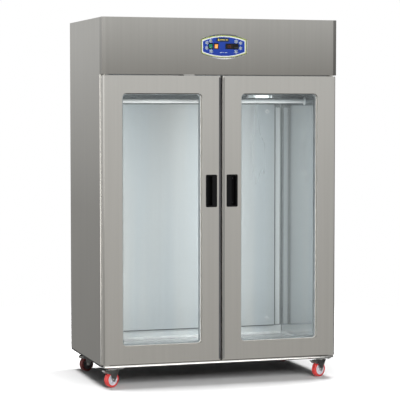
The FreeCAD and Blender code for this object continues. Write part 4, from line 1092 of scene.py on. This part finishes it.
GLOW_RAMP = ((0.0, 0.26), (0.40, 0.46), (0.46, 0.58), (0.52, 0.80), (0.62, 1.02), (1.0, 1.12))
GLOW_BEHIND, GLOW_RIGHT = 0.72, 0.12
FILL_GLOW = 0.012


WORLD_NODES = {
    "OutputWorld": ("output",), "Background": ("white", "room", "faint"), "LightPath": ("path",),
    "MixShader": ("seen", "lit"), "TexCoord": ("place",), "SeparateXYZ": ("split",),
    "MapRange": ("up", "behind", "right"), "ValToRGB": ("ramp",), "Math": ("aside", "glow")}
WORLD_LINKS = (
    ("place", "Generated", "split", 0), ("split", "Z", "up", "Value"), ("split", "Y", "behind", "Value"),
    ("up", 0, "ramp", "Fac"), ("split", "X", "right", "Value"), ("behind", 0, "aside", 0),
    ("right", 0, "aside", 1), ("ramp", "Color", "glow", 0), ("aside", 0, "glow", 1),
    ("glow", 0, "room", "Strength"), ("path", "Diffuse Depth", "lit", 0), ("room", 0, "lit", 1),
    ("faint", 0, "lit", 2), ("path", "Is Camera Ray", "seen", 0), ("lit", 0, "seen", 1),
    ("white", 0, "seen", 2), ("seen", 0, "output", "Surface"))


def backdrop():
    """White where the camera looks; bright above and dim below in reflections; faint as a light."""
    world = bpy.data.worlds.new("studio")
    bpy.context.scene.world = world
    world.use_nodes = True
    tree = world.node_tree
    tree.nodes.clear()
    made = {key: tree.nodes.new("ShaderNode" + kind) for kind, keys in WORLD_NODES.items() for key in keys}
    made["glow"].operation = made["aside"].operation = "MULTIPLY"
    ramp = made["ramp"].color_ramp
    while len(ramp.elements) < len(GLOW_RAMP):
        ramp.elements.new(0.5)
    for stop, (at, glow) in zip(ramp.elements, GLOW_RAMP):
        stop.position = at
        stop.color = (glow, glow, glow, 1)
    for key, ends in (("up", (-1, 1, 0, 1)), ("behind", (-0.4, 0.9, 1, GLOW_BEHIND)),
                      ("right", (0.42, 0.78, 1, GLOW_RIGHT))):
        for name, amount in zip(("From Min", "From Max", "To Min", "To Max"), ends):
            made[key].inputs[name].default_value = amount
    for key, strength, colour in (("white", 1.0, (1, 1, 1, 1)), ("room", 1.0, (0.995, 1.0, 0.995, 1)),
                                  ("faint", FILL_GLOW, (1, 1, 1, 1))):
        made[key].inputs["Strength"].default_value = strength
        made[key].inputs["Color"].default_value = colour
    for start, leaving, end, entering in WORLD_LINKS:
        tree.links.new(made[start].outputs[leaving], made[end].inputs[entering])


def lit_alone(light, objects):
    """Lets a light reach nothing but these objects."""
    group = bpy.data.collections.new(f"{light.name}_reach")
    for obj in objects:
        group.objects.link(obj)
    light.light_linking.receiver_collection = group
    return group


def keep_off(light, objects):
    """Lets a light reach everything but these objects."""
    for member in lit_alone(light, objects).collection_objects:
        member.light_linking.link_state = "EXCLUDE"


def studio():
    """An overhead light for the floor's tight shadow, and fills that don't show in the metal.

    Some lights skip some parts. The rear casters get neither the overhead light nor the fills, the
    floor gets no fill, and the doors and side panels don't get the glint.
    """
    backdrop()
    plane = floor()
    rear_casters = [obj for obj in bpy.context.scene.objects if "_rear_" in obj.name]
    overhead = softbox("overhead", (0, 0.4, 9.0), (0, 0.4, 0), (7.0, 1.9), 1750)
    overhead.visible_glossy = False
    keep_off(overhead, rear_casters)
    lit_alone(softbox("low_front", (0, -4.7, 2.3), (0, -0.4, 0.0), (4.2, 1.8), 205), [plane])
    glint = softbox("left_box", (-4.2, -1.6, 1.4), (0, -0.2, 1.2), (2.6, 3.0), 60, (1.0, 0.96, 0.90))
    under = softbox("strip_glow", (0, -0.56, 0.02), (0, -0.56, 1.0), (1.5, 0.24), 2.4, (1.0, 0.99, 0.97))
    lit_alone(under, [NODES["front_strip"], NODES["hinge_brackets"]])
    glint.visible_diffuse = under.visible_diffuse = False
    keep_off(glint, [NODES[name] for name in ("door_skin_left", "door_skin_right",
                                              "side_panel_left", "side_panel_right")])
    for fill in (
            softbox("front_fill", (1.0, -7.0, 0.5), (0, -0.4, 0.7), (3.0, 0.8), 180),
            softbox("left_fill", (-3.2, -3.4, 2.0), (-0.3, -0.4, 1.0), (1.2, 1.2), 90),
            softbox("chamber_fill", (0, -0.24, 0.98), (0, 0.3, 0.98), (1.15, 1.2), 8.3),
            softbox("chamber_low_fill", (0, -0.22, 0.27), (0, 0.35, 0.17), (1.15, 0.06), 1.0)):
        fill.visible_glossy = False
        keep_off(fill, [plane] + rear_casters)


LENS = 147.6
CAMERA_PLACE = (-2.934, -9.267, 1.594)
CAMERA_DOWN, CAMERA_TURN = radians(3.28), radians(17.54)


def camera():
    data = bpy.data.cameras.new("camera")
    data.sensor_width = 36
    data.lens = LENS
    obj = place_object("camera", data)
    obj.location = CAMERA_PLACE
    obj.rotation_euler = (radians(90) - CAMERA_DOWN, 0, -CAMERA_TURN)
    bpy.context.scene.camera = obj


# ---- Assembly ----

dress_nodes()
for edge_width, node_names in SOFT_EDGES.items():
    for node_name in node_names:
        soften(node_name, edge_width)
label_band("label_rim_lime", 0.6, 4.6, 0.30 * MM, "label_lime")
label_band("label_rim_white", 4.6, 9.4, 0.26 * MM, "label_white")
recess_trim()
snowflakes()
label_marks()
display()
rocker_marks()
for side_name in SIDES:
    door_details(side_name)
    gasket_folds(side_name)
    handle_details(side_name)
striker()
# Both closing-edge covers are painted shade of the gap between the doors.
edge_guard("left", "gasket_rubber")
edge_guard("right", "closing_steel_painted_shade")
body_edges()
shell_screws()
vent_louvres()
back_plate()
duct_fasteners()
chamber_seams()
corner_covers()
rail_plates()
duct_foot_lines()
housing_lamp()
rail_screws()
machine_pipes()
for corner_name in CORNERS:
    wheel_details(corner_name)
    swivel_details(corner_name)
pedal_details("front_left")
pedal_details("front_right")
studio()
camera()
bpy.context.scene.view_settings.view_transform = "Standard"
